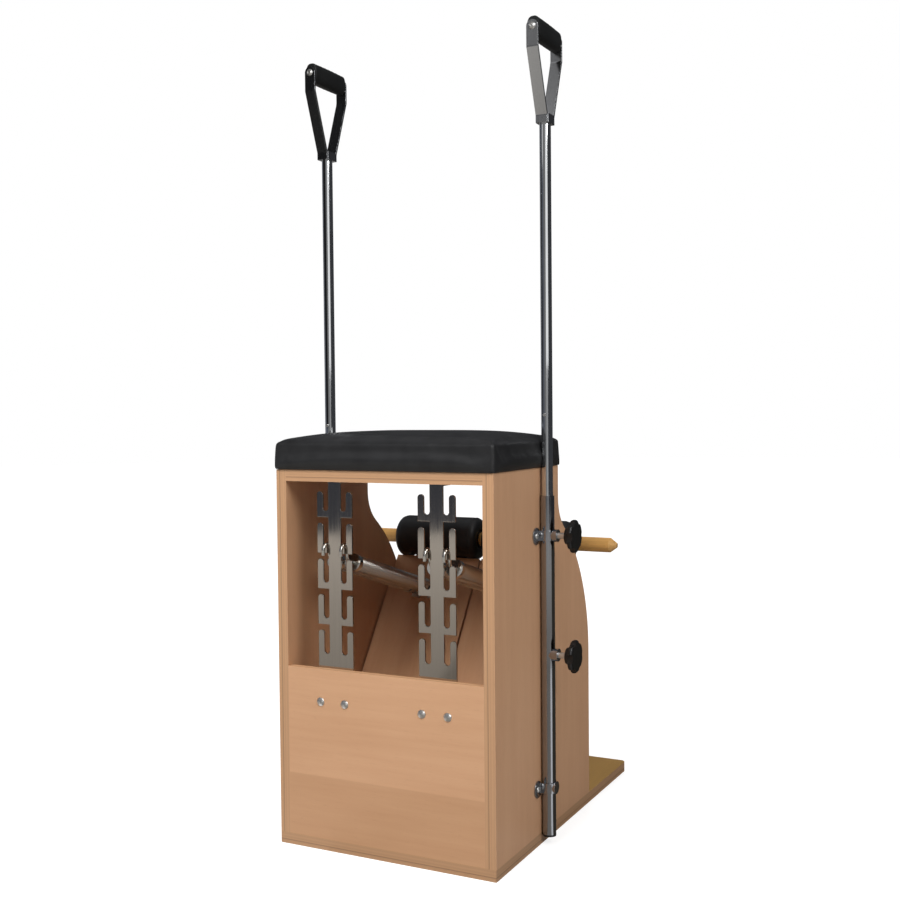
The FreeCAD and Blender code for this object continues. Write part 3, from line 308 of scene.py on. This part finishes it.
# Embossed PVC upholstery: coated cloth pressed with a fine pebble. The eye sees black with a soft grey sheen.
def upholstery_vinyl(name, tone, sizes):
    made = blank(name)
    tree = made[1]
    place = put(tree, "TexCoord").outputs["Object"]
    # The real pebble is about 0.8 mm wide: drawn nearly three times as wide so that it shows.
    pebble = put(tree, "TexVoronoi", {"Vector": place, "Scale": 1 / sizes.vinyl_grain}, feature="SMOOTH_F1")
    cloud = noise(tree, place, (38, 38, 38))
    black = put(tree, "ValToRGB", {"Fac": cloud}, ((0.3, shade(tone, 0.82)), (0.7, shade(tone, 1.25)))).outputs[0]
    rough = put(tree, "MapRange", {"Value": cloud, "To Min": 0.38, "To Max": 0.48}).outputs[0]
    bump = put(tree, "Bump", {"Height": pebble.outputs["Distance"], "Strength": 0.10, "Distance": 0.0005}).outputs[0]
    return surface(made, {"Base Color": black, "Roughness": rough, "Normal": bump, "IOR": 1.5})


# Metals: each takes its look from its colour, its polish and the fine marks of its making.
def metal(name, tone, low, high, per_metre, depth=0.0, detail=3.0, round_edge=0.0):
    """A metal, rough between low and high along marks of the given repeats per metre, with softened edges."""
    made = blank(name)
    tree = made[1]
    marks = noise(tree, put(tree, "TexCoord").outputs["Object"], per_metre, detail)
    rough = put(tree, "MapRange", {"Value": marks, "From Min": 0.3, "From Max": 0.7, "To Min": low, "To Max": high})
    plate = put(tree, "ValToRGB", {"Fac": marks}, ((0.3, shade(tone, 0.92)), (0.7, shade(tone, 1)))).outputs[0]
    inputs = {"Base Color": plate, "Roughness": rough.outputs[0], "Metallic": 1.0}
    if round_edge:
        inputs["Normal"] = put(tree, "Bevel", {"Radius": round_edge}, samples=6).outputs[0]
    if depth:
        marked = {"Height": marks, "Strength": 0.1, "Distance": depth}
        if round_edge:
            marked["Normal"] = inputs["Normal"]
        inputs["Normal"] = put(tree, "Bump", marked).outputs[0]
    return surface(made, inputs)


# Moulded and coated blacks: each takes its look from a fine skin and an uneven sheen.
def skin(name, tone, low, high, spacing, strength, depth):
    """A dull skin, rough between low and high, with grains of the given spacing."""
    made = blank(name)
    tree = made[1]
    place = put(tree, "TexCoord").outputs["Object"]
    fine = noise(tree, place, [1 / spacing] * 3, 2.0)
    broad = noise(tree, place, (30, 30, 30), 2.0)
    rough = put(tree, "MapRange", {"Value": broad, "To Min": low, "To Max": high}).outputs[0]
    black = put(tree, "ValToRGB", {"Fac": broad}, ((0.3, shade(tone, 0.85)), (0.7, shade(tone, 1.2)))).outputs[0]
    bump = put(tree, "Bump", {"Height": fine, "Strength": strength, "Distance": depth}).outputs[0]
    return surface(made, {"Base Color": black, "Roughness": rough, "Normal": bump, "IOR": 1.5})


def coat(material, *names):
    """Gives CAD pieces one material."""
    for name in names:
        data = frame["nodes"][name].data
        data.materials.clear()
        data.materials.append(material)


def pair(*names):
    """The left and the right piece of each name."""
    return [side + "_" + name for name in names for side in SIDES]


def begin(*pieces):
    """Leaves only the given pieces selected, the first one active."""
    if bpy.context.object and bpy.context.object.mode != "OBJECT":
        bpy.ops.object.mode_set(mode="OBJECT")
    bpy.ops.object.select_all(action="DESELECT")
    for piece in pieces:
        piece.select_set(True)
    if pieces:
        bpy.context.view_layer.objects.active = pieces[0]


def named(name):
    """Names the piece that was just added, and moves its place into its mesh."""
    piece = bpy.context.object
    piece.name = piece.data.name = name
    bpy.ops.object.transform_apply(location=True, rotation=True, scale=True)
    return piece


def modify(piece, kind, **settings):
    """Adds a modifier and applies it."""
    begin(piece)
    modifier = piece.modifiers.new(kind.lower(), kind)
    for key, value in settings.items():
        setattr(modifier, key, value)
    bpy.ops.object.modifier_apply(modifier=modifier.name)


def pick_edges(piece, test):
    """Goes to edit mode with the edges selected whose two ends pass the test."""
    begin(piece)
    bpy.context.tool_settings.mesh_select_mode = (False, True, False)
    bpy.ops.object.mode_set(mode="EDIT")
    bpy.ops.mesh.select_all(action="DESELECT")
    bpy.ops.object.mode_set(mode="OBJECT")
    points = piece.data.vertices
    for edge in piece.data.edges:
        edge.select = test(*(points[i].co for i in edge.vertices))
    bpy.ops.object.mode_set(mode="EDIT")


def points_of(piece):
    """The places of a mesh's vertices, one row each."""
    flat = np.zeros(len(piece.data.vertices) * 3, np.float32)
    piece.data.vertices.foreach_get("co", flat)
    return flat.reshape(-1, 3)


def set_points(piece, points):
    piece.data.vertices.foreach_set("co", np.asarray(points, np.float32).ravel())
    piece.data.update()


def smooth(piece, angle):
    """Shades smooth across edges that bend by less than the angle, in degrees."""
    begin(piece)
    bpy.ops.object.shade_smooth_by_angle(angle=math.radians(angle))


def dress(piece, material, slot, *nodes):
    """Gives a new piece its one material, and hides the CAD pieces it stands for. The slot is not used."""
    piece.data.materials.clear()
    piece.data.materials.append(material)
    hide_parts(*nodes)


def fit(piece, low, high):
    """Sizes a piece so that it fills the box between two corners."""
    points = points_of(piece)
    least, most = points.min(0), points.max(0)
    set_points(piece, np.array(low) + (points - least) / (most - least) * np.array(high - low))


def fill_cover(piece, held, most):
    """Lets the filling push a cover out, no further than the given reach, save where it is held."""
    modify(piece, "REMESH", mode="VOXEL", voxel_size=COVER_MESH, use_smooth_shade=True)
    before = points_of(piece)
    group = piece.vertex_groups.new(name="held")
    group.add([i for i, point in enumerate(before) if held(point)], 1.0, "REPLACE")
    begin(piece)
    cover = piece.modifiers.new("cover", "CLOTH")
    cover.settings.quality = 5
    cover.settings.mass = 0.4
    cover.settings.tension_stiffness = 25
    cover.settings.compression_stiffness = 25
    cover.settings.shear_stiffness = 15
    cover.settings.bending_stiffness = 3
    cover.settings.use_pressure = True
    cover.settings.uniform_pressure_force = 4
    cover.settings.effector_weights.gravity = 0
    cover.settings.vertex_group_mass = "held"
    cover.point_cache.frame_end = FILLING_STEPS
    for step in range(1, FILLING_STEPS + 1):
        bpy.context.scene.frame_set(step)
    bpy.ops.object.modifier_apply(modifier="cover")
    bpy.context.scene.frame_set(1)
    shift = points_of(piece) - before
    reach = np.maximum(np.linalg.norm(shift, axis=1, keepdims=True), 1e-9)
    set_points(piece, before + shift * np.minimum(1, most / reach))
    piece.vertex_groups.clear()
    modify(piece, "SMOOTH", factor=0.5, iterations=2)
    modify(piece, "SUBSURF", levels=1, render_levels=1)


def cut_away(piece, cutter):
    """Takes the cutter's space out of a piece, and removes the cutter."""
    modify(piece, "BOOLEAN", operation="DIFFERENCE", object=cutter, solver="EXACT")
    bpy.data.objects.remove(cutter)


def bead(points, radius):
    """A thin round cord through the points, as a mesh."""
    begin()
    bpy.ops.curve.primitive_nurbs_path_add()
    curve = bpy.context.object.data
    curve.splines.clear()
    line = curve.splines.new("POLY")
    line.points.add(len(points) - 1)
    for point, place in zip(line.points, points):
        point.co = (*place, 1)
    curve.bevel_depth = radius
    curve.bevel_resolution = 2
    curve.use_fill_caps = True
    bpy.ops.object.convert(target="MESH")
    return bpy.context.object


def join(piece, others):
    """Makes other pieces part of the first one."""
    begin(piece, *others)
    bpy.ops.object.join()


def vinyl_of(context):
    """The one vinyl that the seat and the rollers share."""
    name = "embossed_upholstery_vinyl"
    colours, sizes = context.scene.chair_colours, context.scene.chair_sizes
    return bpy.data.materials.get(name) or upholstery_vinyl(name, colours.vinyl, sizes)


class CHAIR_OT_plywood(bpy.types.Operator):
    """Gives each plywood board its own veneer, laid along the board"""
    bl_idname = "chair.plywood"
    bl_label = "Plywood Boards"

    def execute(self, context):
        colours, sizes = context.scene.chair_colours, context.scene.chair_sizes
        plain = (tuple(colours.veneer_pale), tuple(colours.veneer_deep), tuple(colours.ply_edge))
        # The base board's veneer and cut edge are toned darker than the other boards: painted shade.
        base = (shade(colours.base_veneer_painted_shade, 1.06), shade(colours.base_veneer_painted_shade, 0.95), shade(colours.ply_edge, 0.92))
        # Board, its tones, layer axis and grain axis
        boards = (
            ("base_board", base, 2, 1), ("left_side_panel", plain, 0, 2), ("right_side_panel", plain, 0, 2),
            ("top_board", plain, 2, 0), ("back_panel", plain, 1, 0), ("seat_board", plain, 2, 0),
        )
        for name, tones, layer, grain in boards:
            low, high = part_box(name)
            coat(plywood("lacquered_beech_ply_" + name, tones, sizes, low, (high - low)[layer], layer, grain,
                         band=sizes.lower_band if name == "back_panel" else 0), name)
        turn = Matrix.Rotation(PEDAL_LEAN, 3, "X")
        for name, height, grain in (("left_pedal_board", PEDAL_BOARD_UNDERSIDE, 1),
                                    ("right_pedal_board", PEDAL_BOARD_UNDERSIDE, 1),
                                    ("stop_rail", STOP_RAIL_UNDERSIDE, 0)):
            corner = PEDAL_PIVOT + turn @ Vector((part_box(name)[0].x, 0, height))
            coat(plywood("lacquered_beech_ply_" + name, plain, sizes, corner, BOARD, 2, grain, PEDAL_LEAN), name)
        coat(turned_beech("turned_beech_oiled", tuple(colours.dowel)), "link_dowel", "panel_dowels")
        return {"FINISHED"}


class CHAIR_OT_metalwork(bpy.types.Operator):
    """Finishes the plates, tubes, poles, straps, screws and pedal ironwork"""
    bl_idname = "chair.metalwork"
    bl_label = "Metalwork"

    def execute(self, context):
        colours = context.scene.chair_colours
        # Stainless sheet polished along its length: a grey mirror with faint upright streaks and soft edges.
        coat(metal("stainless_sheet_polished", colours.steel, 0.05, 0.10, (900, 900, 14), 0.00004, 3.0, 0.0012),
             *pair("hook_plate"))
        # Chrome over drawn tube: a near mirror with faint smudges.
        coat(metal("chrome_plated_tube", colours.chrome, 0.05, 0.10, (60, 60, 22), 0, 2.0), *pair("pole"))
        # Satin chrome over welded tube: greyer and softer than the poles.
        coat(metal("satin_chrome_tube", colours.tube, 0.08, 0.14, (60, 60, 22), 0, 2.0), *pair("socket_tube"))
        # Satin chrome over bent strip: the same finish as the tubes, with soft edges.
        coat(metal("satin_chrome_strip", colours.tube, 0.08, 0.16, (60, 60, 60), 0, 2.0, 0.0008), "tube_clamps")
        # Nickel over hard-drawn wire: bright and slightly warm.
        coat(metal("nickel_plated_wire", colours.nickel, 0.10, 0.22, (240, 240, 240)), "spring_hooks", "spring_ends",
             *pair("spring_tails"))
        # Bright zinc on cold-headed screws: pale, with a slightly clouded polish.
        coat(metal("zinc_plated_fasteners", colours.zinc, 0.3, 0.46, (420, 420, 420), 0, 3.0, 0.001),
             "hook_plate_bolts", "wood_screws",
             *pair("upper_knob_stud", "lower_knob_stud", "pedal_screws", "handle_screws", "spring_anchors"))
        # Polished flat bar: a grey mirror with fine streaks along the bar and soft edges.
        coat(metal("polished_flat_bar", colours.flat_bar, 0.12, 0.22, (700, 700, 24), 0.00003, 3.0, 0.0008),
             *pair("handle_straps", "handle_socket"))
        # Ground round bar: fine rings round the axle.
        coat(metal("ground_steel_bar", linear("#B9B7B3"), 0.22, 0.36, (1600, 20, 20), 0.00004), "pedal_axle")
        # Powder coat on welded steel: black with a fine orange peel.
        coat(skin("black_powder_coat", linear("#1C1C1D"), 0.42, 0.55, 0.0022, 0.12, 0.0004),
             *pair("pedal_hinge", "roller_core"), "bearing_flanges")
        return {"FINISHED"}


class CHAIR_OT_mouldings(bpy.types.Operator):
    """Finishes the clamp knobs, tube plugs and rubber stops"""
    bl_idname = "chair.mouldings"
    bl_label = "Knobs and Stops"

    def execute(self, context):
        colours = context.scene.chair_colours
        # Glass-filled nylon: satin black with a fine spark-eroded skin.
        coat(skin("moulded_nylon_black", colours.nylon, 0.34, 0.46, 0.0014, 0.10, 0.0003),
             *pair("upper_knob", "lower_knob"), "tube_plugs")
        # Moulded rubber: dull black, slightly dusty.
        coat(skin("moulded_rubber_stop", colours.rubber, 0.66, 0.8, 0.003, 0.15, 0.0004), "rubber_pads")
        return {"FINISHED"}


class CHAIR_OT_seat(bpy.types.Operator):
    """Builds the upholstered seat: a filled cover with folded corners, cut round the poles and the seat board"""
    bl_idname = "chair.seat"
    bl_label = "Seat Cushion"

    def execute(self, context):
        sizes = context.scene.chair_sizes
        low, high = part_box("seat_cushion")
        centre, half, edge = (low + high) / 2, (high - low) / 2, high.z - sizes.seat_crown
        begin()
        bpy.ops.mesh.primitive_cube_add(size=1, location=(centre.x, centre.y, (low.z + edge) / 2),
                                        scale=(2 * half.x, 2 * half.y, edge - low.z))
        seat = named("seat_cover")
        pick_edges(seat, lambda a, b: max(a.z, b.z) > centre.z)
        bpy.ops.mesh.bevel(offset=sizes.seat_edge, segments=4, affect="EDGES")
        bpy.ops.object.mode_set(mode="OBJECT")
        fill_cover(seat, lambda point: point[2] < low.z + SEAT_TACKED, sizes.seat_swell)
        room = Vector((sizes.seat_cloth, sizes.seat_cloth, 0))
        fit(seat, low - room, Vector((high.x, high.y, edge + SEAT_TOP_COVER)) + room)
        points = points_of(seat)
        across = ((points - np.array(centre)) / np.array(half)) ** 2
        rise = np.clip((points[:, 2] - low.z) / (edge - low.z), 0, 1) ** 2
        points[:, 2] += sizes.seat_crown * rise * (1 - across[:, 0] ** 2) * (1 - across[:, 1] ** 2)
        set_points(seat, points)
        folds = []
        for way_x in (-1, 1):
            for way_y in (-1, 1):
                trail = []
                for step in range(FOLD_POINTS):
                    height = low.z + FOLD_FOOT + step * FOLD_STEP
                    start = Vector((way_x * (half.x + FOLD_PROBE), centre.y + way_y * (half.y + FOLD_PROBE), height))
                    hit, place, normal, _ = seat.ray_cast(start, Vector((-way_x, -way_y, 0)).normalized())
                    if hit:
                        trail.append(place - normal * FOLD_SINK)
                folds.append(bead(trail, sizes.fold))
        board_low, board_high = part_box("seat_board")
        begin()
        bpy.ops.mesh.primitive_cube_add(size=1, location=(board_low + board_high) / 2,
                                        scale=board_high - board_low + Vector([BOARD_ROOM] * 3))
        cut_away(seat, named("board_space"))
        for side in SIDES:
            tube_low, tube_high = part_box(side + "_socket_tube")
            begin()
            bpy.ops.mesh.primitive_cylinder_add(vertices=64, radius=POLE_ROOM, depth=POLE_ROOM_LENGTH, location=(
                (tube_low.x + tube_high.x) / 2, (tube_low.y + tube_high.y) / 2, centre.z))
            cut_away(seat, named("pole_space"))
        join(seat, folds)
        smooth(seat, 50)
        dress(seat, vinyl_of(context), "black_vinyl", "seat_cushion")
        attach(seat, "frame")
        return {"FINISHED"}


class CHAIR_OT_rollers(bpy.types.Operator):
    """Builds the two padded rollers with their sewn ends"""
    bl_idname = "chair.rollers"
    bl_label = "Roller Pads"

    def execute(self, context):
        sizes = context.scene.chair_sizes
        dowel_low, dowel_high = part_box("link_dowel")
        axis = (dowel_low + dowel_high) / 2
        for side in SIDES:
            low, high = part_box(side + "_roller_pad")
            pad = bpy.data.objects.new(side + "_roller_cover", frame["nodes"][side + "_roller_pad"].data.copy())
            context.scene.collection.objects.link(pad)
            begin(pad)
            bpy.ops.object.mode_set(mode="EDIT")
            bpy.ops.mesh.select_all(action="SELECT")
            bpy.ops.mesh.remove_doubles(threshold=0.00001)
            bpy.ops.mesh.normals_make_consistent(inside=False)
            bpy.ops.object.mode_set(mode="OBJECT")
            named(side + "_roller_cover")
            fill_cover(pad, lambda point: math.hypot(point[1] - axis.y, point[2] - axis.z) < ROLLER_TACKED,
                       sizes.roller_swell)
            # The cover is thicker on the outer end, away from the other roller.
            cloth = sizes.roller_cloth
            fit(pad, low - Vector((2 * cloth if side == "left" else 0, cloth, cloth)),
                high + Vector((2 * cloth if side == "right" else 0, cloth, cloth)))
            seams = []
            for x in (low.x + SEAM_INSET, high.x - SEAM_INSET):
                begin()
                bpy.ops.mesh.primitive_torus_add(location=(x, axis.y, axis.z), rotation=(0, math.pi / 2, 0),
                                                 major_radius=(high.z - low.z) / 2 + cloth - SEAM_SINK,
                                                 minor_radius=sizes.seam, major_segments=72, minor_segments=8)
                seams.append(named("roller_seam"))
            join(pad, seams)
            smooth(pad, 60)
            dress(pad, vinyl_of(context), "black_vinyl", side + "_roller_pad")
            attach(pad, side + "_pedal")
        return {"FINISHED"}


class CHAIR_OT_springs(bpy.types.Operator):
    """Winds the four close-coiled springs between their hooks and end rings"""
    bl_idname = "chair.springs"
    bl_label = "Coil Springs"

    def execute(self, context):
        sizes, colours = context.scene.chair_sizes, context.scene.chair_colours
        # Nickel over hard-drawn wire: bright turns with a little haze.
        nickel = metal("nickel_plated_coil", colours.nickel, 0.10, 0.20, (300, 300, 300))
        along = Vector(next(joint["axis"] for joint in frame["joints"] if joint["name"] == "spring_stretch"))
        turn = Vector((0, 0, 1)).rotation_difference(along).to_matrix().to_4x4()
        wire, turns = sizes.spring_wire, sizes.spring_turns
        for node in pair("inner_spring", "outer_spring"):
            low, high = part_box(node)
            middle = (low + high) / 2
            reach = (points_of(frame["nodes"][node]) - np.array(middle)) @ np.array(along)
            start, run = middle + along * float(reach.min()), float(np.ptp(reach))
            begin()
            bpy.ops.mesh.primitive_circle_add(vertices=WIRE_SIDES, radius=wire / 2, rotation=(math.pi / 2, 0, 0),
                                              location=((high.x - low.x) / 2 - wire / 2, 0, wire / 2))
            coil = named(node + "_coil")
            modify(coil, "SCREW", angle=2 * math.pi, screw_offset=(run - wire) / turns, iterations=turns,
                   steps=TURN_STEPS, render_steps=TURN_STEPS, use_normal_calculate=True)
            bpy.ops.object.mode_set(mode="EDIT")
            bpy.ops.mesh.select_all(action="SELECT")
            bpy.ops.mesh.fill_holes(sides=0)
            bpy.ops.mesh.select_all(action="SELECT")
            bpy.ops.mesh.normals_make_consistent(inside=False)
            bpy.ops.object.mode_set(mode="OBJECT")
            coil.matrix_world = Matrix.Translation(start) @ turn
            named(node + "_coil")
            smooth(coil, 60)
            dress(coil, nickel, "spring_steel", node)
            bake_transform(coil)
        return {"FINISHED"}


class CHAIR_OT_grips(bpy.types.Operator):
    """Builds the moulded grips with flat sides, rounded rims and shallow ribs"""
    bl_idname = "chair.grips"
    bl_label = "Hand Grips"

    def execute(self, context):
        sizes, colours = context.scene.chair_sizes, context.scene.chair_colours
        # Moulded rubber: deep black with a faint satin sheen.
        rubber = skin("moulded_rubber_grip", colours.rubber, 0.48, 0.62, 0.0022, 0.12, 0.0004)
        for side in SIDES:
            low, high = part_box(side + "_handle_grip")
            middle, radius, run = (low + high) / 2, (high.z - low.z) / 2, high.y - low.y
            begin()
            bpy.ops.mesh.primitive_cylinder_add(vertices=64, radius=radius, depth=run, location=middle,
                                                rotation=(math.pi / 2, 0, 0))
            grip = named(side + "_moulded_grip")
            pick_edges(grip, lambda a, b: abs(a.y - b.y) > run / 2)
            bpy.ops.mesh.subdivide(number_cuts=GRIP_RINGS)
            bpy.ops.object.mode_set(mode="OBJECT")
            points = points_of(grip)
            share = (points[:, 1] - middle.y) / (run / 2)
            ribs = sizes.grip_rib * (np.cos(share * 2 * math.pi * GRIP_RIBS) - 1) * (np.abs(share) < GRIP_RIBBED)
            rim = -GRIP_RIM * np.clip((np.abs(share) - GRIP_RIM_START) / (1 - GRIP_RIM_START), 0, 1) ** 2
            grow = 1 + (ribs + rim - sizes.grip_swell * share ** 2) / radius
            # A flat-sided round: the power fills out its corners.
            across, up = (points[:, 0] - middle.x) / radius, (points[:, 2] - middle.z) / radius
            across, up = (np.sign(part) * np.abs(part) ** sizes.grip_square for part in (across, up))
            points[:, 0] = middle.x + across * grow * sizes.grip_thickness / 2
            points[:, 2] = middle.z + up * grow * radius
            set_points(grip, points)
            for y in (low.y, high.y):
                begin()
                bpy.ops.mesh.primitive_cylinder_add(vertices=24, radius=BOLT_HOLE, depth=BOLT_HOLE_LENGTH,
                                                    location=(middle.x, y, middle.z), rotation=(math.pi / 2, 0, 0))
                cut_away(grip, named("bolt_hole"))
            smooth(grip, 40)
            dress(grip, rubber, "grip_rubber", side + "_handle_grip")
            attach(grip, side + "_pole")
        return {"FINISHED"}


def seen_rays(tree):
    """One for the rays that look at the stage itself: camera, glossy and transmission rays."""
    path = put(tree, "LightPath")
    first = put(tree, "Math", {0: path.outputs["Is Camera Ray"], 1: path.outputs["Is Glossy Ray"]}, operation="ADD")
    both = put(tree, "Math", {0: first.outputs[0], 1: path.outputs["Is Transmission Ray"]}, operation="ADD",
               use_clamp=True)
    return both.outputs[0]


def from_middle(tree):
    """Distance from the middle of the studio."""
    place = put(tree, "TexCoord").outputs["Object"]
    return put(tree, "VectorMath", {0: place}, operation="LENGTH").outputs["Value"]


def reflected_only(piece, near, far):
    """A stage cloth that metal and lacquer reflect, and that neither the camera nor the light meets."""
    felt, tree = blank(piece.name + "_felt")
    share = put(tree, "MapRange", {"Value": from_middle(tree), "From Min": CLOTH_FADE, "From Max": WALL}).outputs[0]
    tone = put(tree, "MixRGB", {"Fac": share, "Color1": near, "Color2": far}).outputs[0]
    put(tree, "OutputMaterial", {"Surface": put(tree, "Emission", {"Color": tone}).outputs[0]})
    piece.data.materials.append(felt)
    piece.visible_camera = piece.visible_diffuse = piece.visible_shadow = False


class CHAIR_OT_stage(bpy.types.Operator):
    """Sets up the floor, the studio light, the white backdrop and the camera"""
    bl_idname = "chair.stage"
    bl_label = "Studio"

    def execute(self, context):
        scene, stage = context.scene, context.scene.chair_stage
        scene.view_settings.view_transform = "Standard"
        scene.world = bpy.data.worlds.new("white_studio")
        scene.world.use_nodes = True
        tree = scene.world.node_tree
        tree.nodes.clear()
        room = put(tree, "Background", {"Color": grey(1), "Strength": stage.ambient})
        backdrop = put(tree, "Background", {"Color": grey(1), "Strength": 1.0})
        mixed = put(tree, "MixShader", {0: seen_rays(tree), 1: room.outputs[0], 2: backdrop.outputs[0]})
        put(tree, "OutputWorld", {"Surface": mixed.outputs[0]})

        begin()
        bpy.ops.mesh.primitive_circle_add(vertices=96, radius=FLOOR_RADIUS, fill_type="NGON")
        floor = named("studio_floor")
        paper, tree = blank("matt_paper_floor")
        # The lamps fall off away from the chair, so the paper's own white makes up for it.
        white = put(tree, "MapRange", {"Value": from_middle(tree), "From Min": FLOOR_FADE[0],
                                       "From Max": FLOOR_FADE[1], "To Min": stage.floor_glow, "To Max": 1.0},
                    interpolation_type="SMOOTHSTEP").outputs[0]
        white = put(tree, "Math", {0: white, 1: seen_rays(tree)}, operation="MULTIPLY").outputs[0]
        matt = put(tree, "BsdfDiffuse", {"Color": stage.floor})
        glow = put(tree, "Emission", {"Color": grey(1), "Strength": white})
        lit = put(tree, "AddShader", {0: matt.outputs[0], 1: glow.outputs[0]})
        put(tree, "OutputMaterial", {"Surface": lit.outputs[0]})
        floor.data.materials.append(paper)

        # Cloths that bright metal reflects: each has a centre, and spans two angles right of the rear, two radii and
        # two heights, with a tone near the chair and one far from it.
        middle, wall, ground, raised = (0, 0), (WALL, WALL), (0.0008, 0.0008), (0.0014, 0.0014)
        low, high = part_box("right_socket_tube")
        right_tube, left_pole = ((low.x + high.x) / 2, (low.y + high.y) / 2), (-0.2, -0.12)
        for name, (x, y), (first, last), (inner, outer), (bottom, top), near, far in (
                ("left_cloth", middle, (-135, -46), wall, (0, ROOF), "#70737A", "#70737A"),
                ("corner_cloth", middle, (-46, -22), wall, (0, 2.1), "#50545E", "#50545E"),
                ("high_corner_cloth", middle, (-46, -22), wall, (2.1, ROOF), "#C6C6C7", "#C6C6C7"),
                ("rear_cloth", middle, (-22, 22), wall, (0, ROOF), "#787878", "#787878"),
                ("pale_sill_cloth", middle, (22, 46), wall, (0, 0.92), "#A0A0A0", "#A0A0A0"),
                ("dark_sill_cloth", middle, (46, 62), wall, (0, 0.92), "#3C3D40", "#3C3D40"),
                ("window_top_cloth", middle, (22, 62), wall, (2.5, ROOF), "#77787B", "#77787B"),
                ("right_cloth", middle, (62, 225), wall, (0, ROOF), "#3C3D40", "#3C3D40"),
                ("handle_cloth", left_pole, (-75, -10), (0.25, 0.25), (0.66, 2.4), "#1E1E1F", "#1E1E1F"),
                ("shaded_floor_cloth", right_tube, (86, 207), (0.02, WALL), raised, "#45413A", "#45413A"),
                ("bright_floor_cloth", right_tube, (52, 80), (0.02, 1.3), raised, "#FFFFFF", "#FFFFFF"),
                ("roof_cloth", middle, (-135, 225), (0, WALL), (ROOF, ROOF), "#8A8A8A", "#8A8A8A"),
                ("floor_cloth", middle, (-19, 315), (0, WALL), ground, "#908C86", "#D2D0CC"),
                ("plate_cloth", middle, (-45, -19), (0.5, WALL), ground, "#B4B0AA", "#EEEAE4")):
            begin()
            bpy.ops.mesh.primitive_grid_add(x_subdivisions=72, y_subdivisions=1, size=1)
            cloth = named(name)
            across, along = (points_of(cloth)[:, :2] + 0.5).T
            angle, radius = np.radians(first + (last - first) * across), inner + (outer - inner) * along
            height = bottom + (top - bottom) * along
            set_points(cloth, np.stack((x + radius * np.sin(angle), y - radius * np.cos(angle), height), 1))
            reflected_only(cloth, linear(near), linear(far))

        # Lamps: degrees right of the rear and up, distance, width, height, power, and whether reflections show them
        for name, azimuth, height, distance, width, tall, power, shows in (
                ("key_softbox", -12, 50, 3.4, 1.8, 1.8, stage.key, False),
                ("side_softbox", 60, 38, 3.2, 1.2, 1.6, stage.fill, True),
                ("front_softbox", -146, 36, 3.6, 2.4, 2.0, stage.front, False)):
            a, e = math.radians(azimuth), math.radians(height)
            way = Vector((math.sin(a) * math.cos(e), -math.cos(a) * math.cos(e), math.sin(e)))
            begin()
            bpy.ops.object.light_add(type="AREA", location=LAMP_AIM + way * distance,
                                     rotation=way.to_track_quat("Z", "Y").to_euler())
            lamp = context.object
            lamp.name = lamp.data.name = name
            lamp.data.shape = "RECTANGLE"
            lamp.data.size, lamp.data.size_y, lamp.data.energy = width, tall, power
            lamp.visible_glossy = shows

        turn = Matrix.Rotation(math.radians(CAMERA_TURN), 4, "Z")
        turn = turn @ Matrix.Rotation(math.radians(CAMERA_TILT), 4, "X")
        turn = turn @ Matrix.Rotation(math.radians(CAMERA_ROLL), 4, "Z")
        begin()
        bpy.ops.object.camera_add()
        camera = context.object
        camera.name = camera.data.name = "photo_camera"
        camera.matrix_world = Matrix.Translation(CAMERA_PLACE) @ turn
        camera.data.sensor_width, camera.data.lens = CAMERA_SENSOR, CAMERA_LENS
        scene.camera = camera
        return {"FINISHED"}


OPERATORS = (CHAIR_OT_plywood, CHAIR_OT_metalwork, CHAIR_OT_mouldings, CHAIR_OT_seat, CHAIR_OT_rollers,
             CHAIR_OT_springs, CHAIR_OT_grips, CHAIR_OT_stage)


class CHAIR_PT_panel(bpy.types.Panel):
    """Lists the chair's pieces, colours and sizes"""
    bl_idname = "CHAIR_PT_panel"
    bl_label = "Pilates Chair"
    bl_space_type = "VIEW_3D"
    bl_region_type = "UI"
    bl_category = "Chair"

    def draw(self, context):
        for operator in OPERATORS:
            self.layout.operator(operator.bl_idname)
        for group in (context.scene.chair_colours, context.scene.chair_sizes, context.scene.chair_stage):
            box = self.layout.box()
            for key in group.__annotations__:
                box.prop(group, key)


CLASSES = (ChairColours, ChairSizes, StageSettings) + OPERATORS + (CHAIR_PT_panel,)


def register():
    for cls in CLASSES:
        bpy.utils.register_class(cls)
    bpy.types.Scene.chair_colours = PointerProperty(type=ChairColours)
    bpy.types.Scene.chair_sizes = PointerProperty(type=ChairSizes)
    bpy.types.Scene.chair_stage = PointerProperty(type=StageSettings)


def unregister():
    for name in ("chair_stage", "chair_sizes", "chair_colours"):
        delattr(bpy.types.Scene, name)
    for cls in reversed(CLASSES):
        bpy.utils.unregister_class(cls)


def main():
    register()
    bpy.ops.chair.plywood()
    bpy.ops.chair.metalwork()
    bpy.ops.chair.mouldings()
    bpy.ops.chair.seat()
    bpy.ops.chair.rollers()
    bpy.ops.chair.springs()
    bpy.ops.chair.grips()
    bpy.ops.chair.stage()


if __name__ == "__main__":
    main()
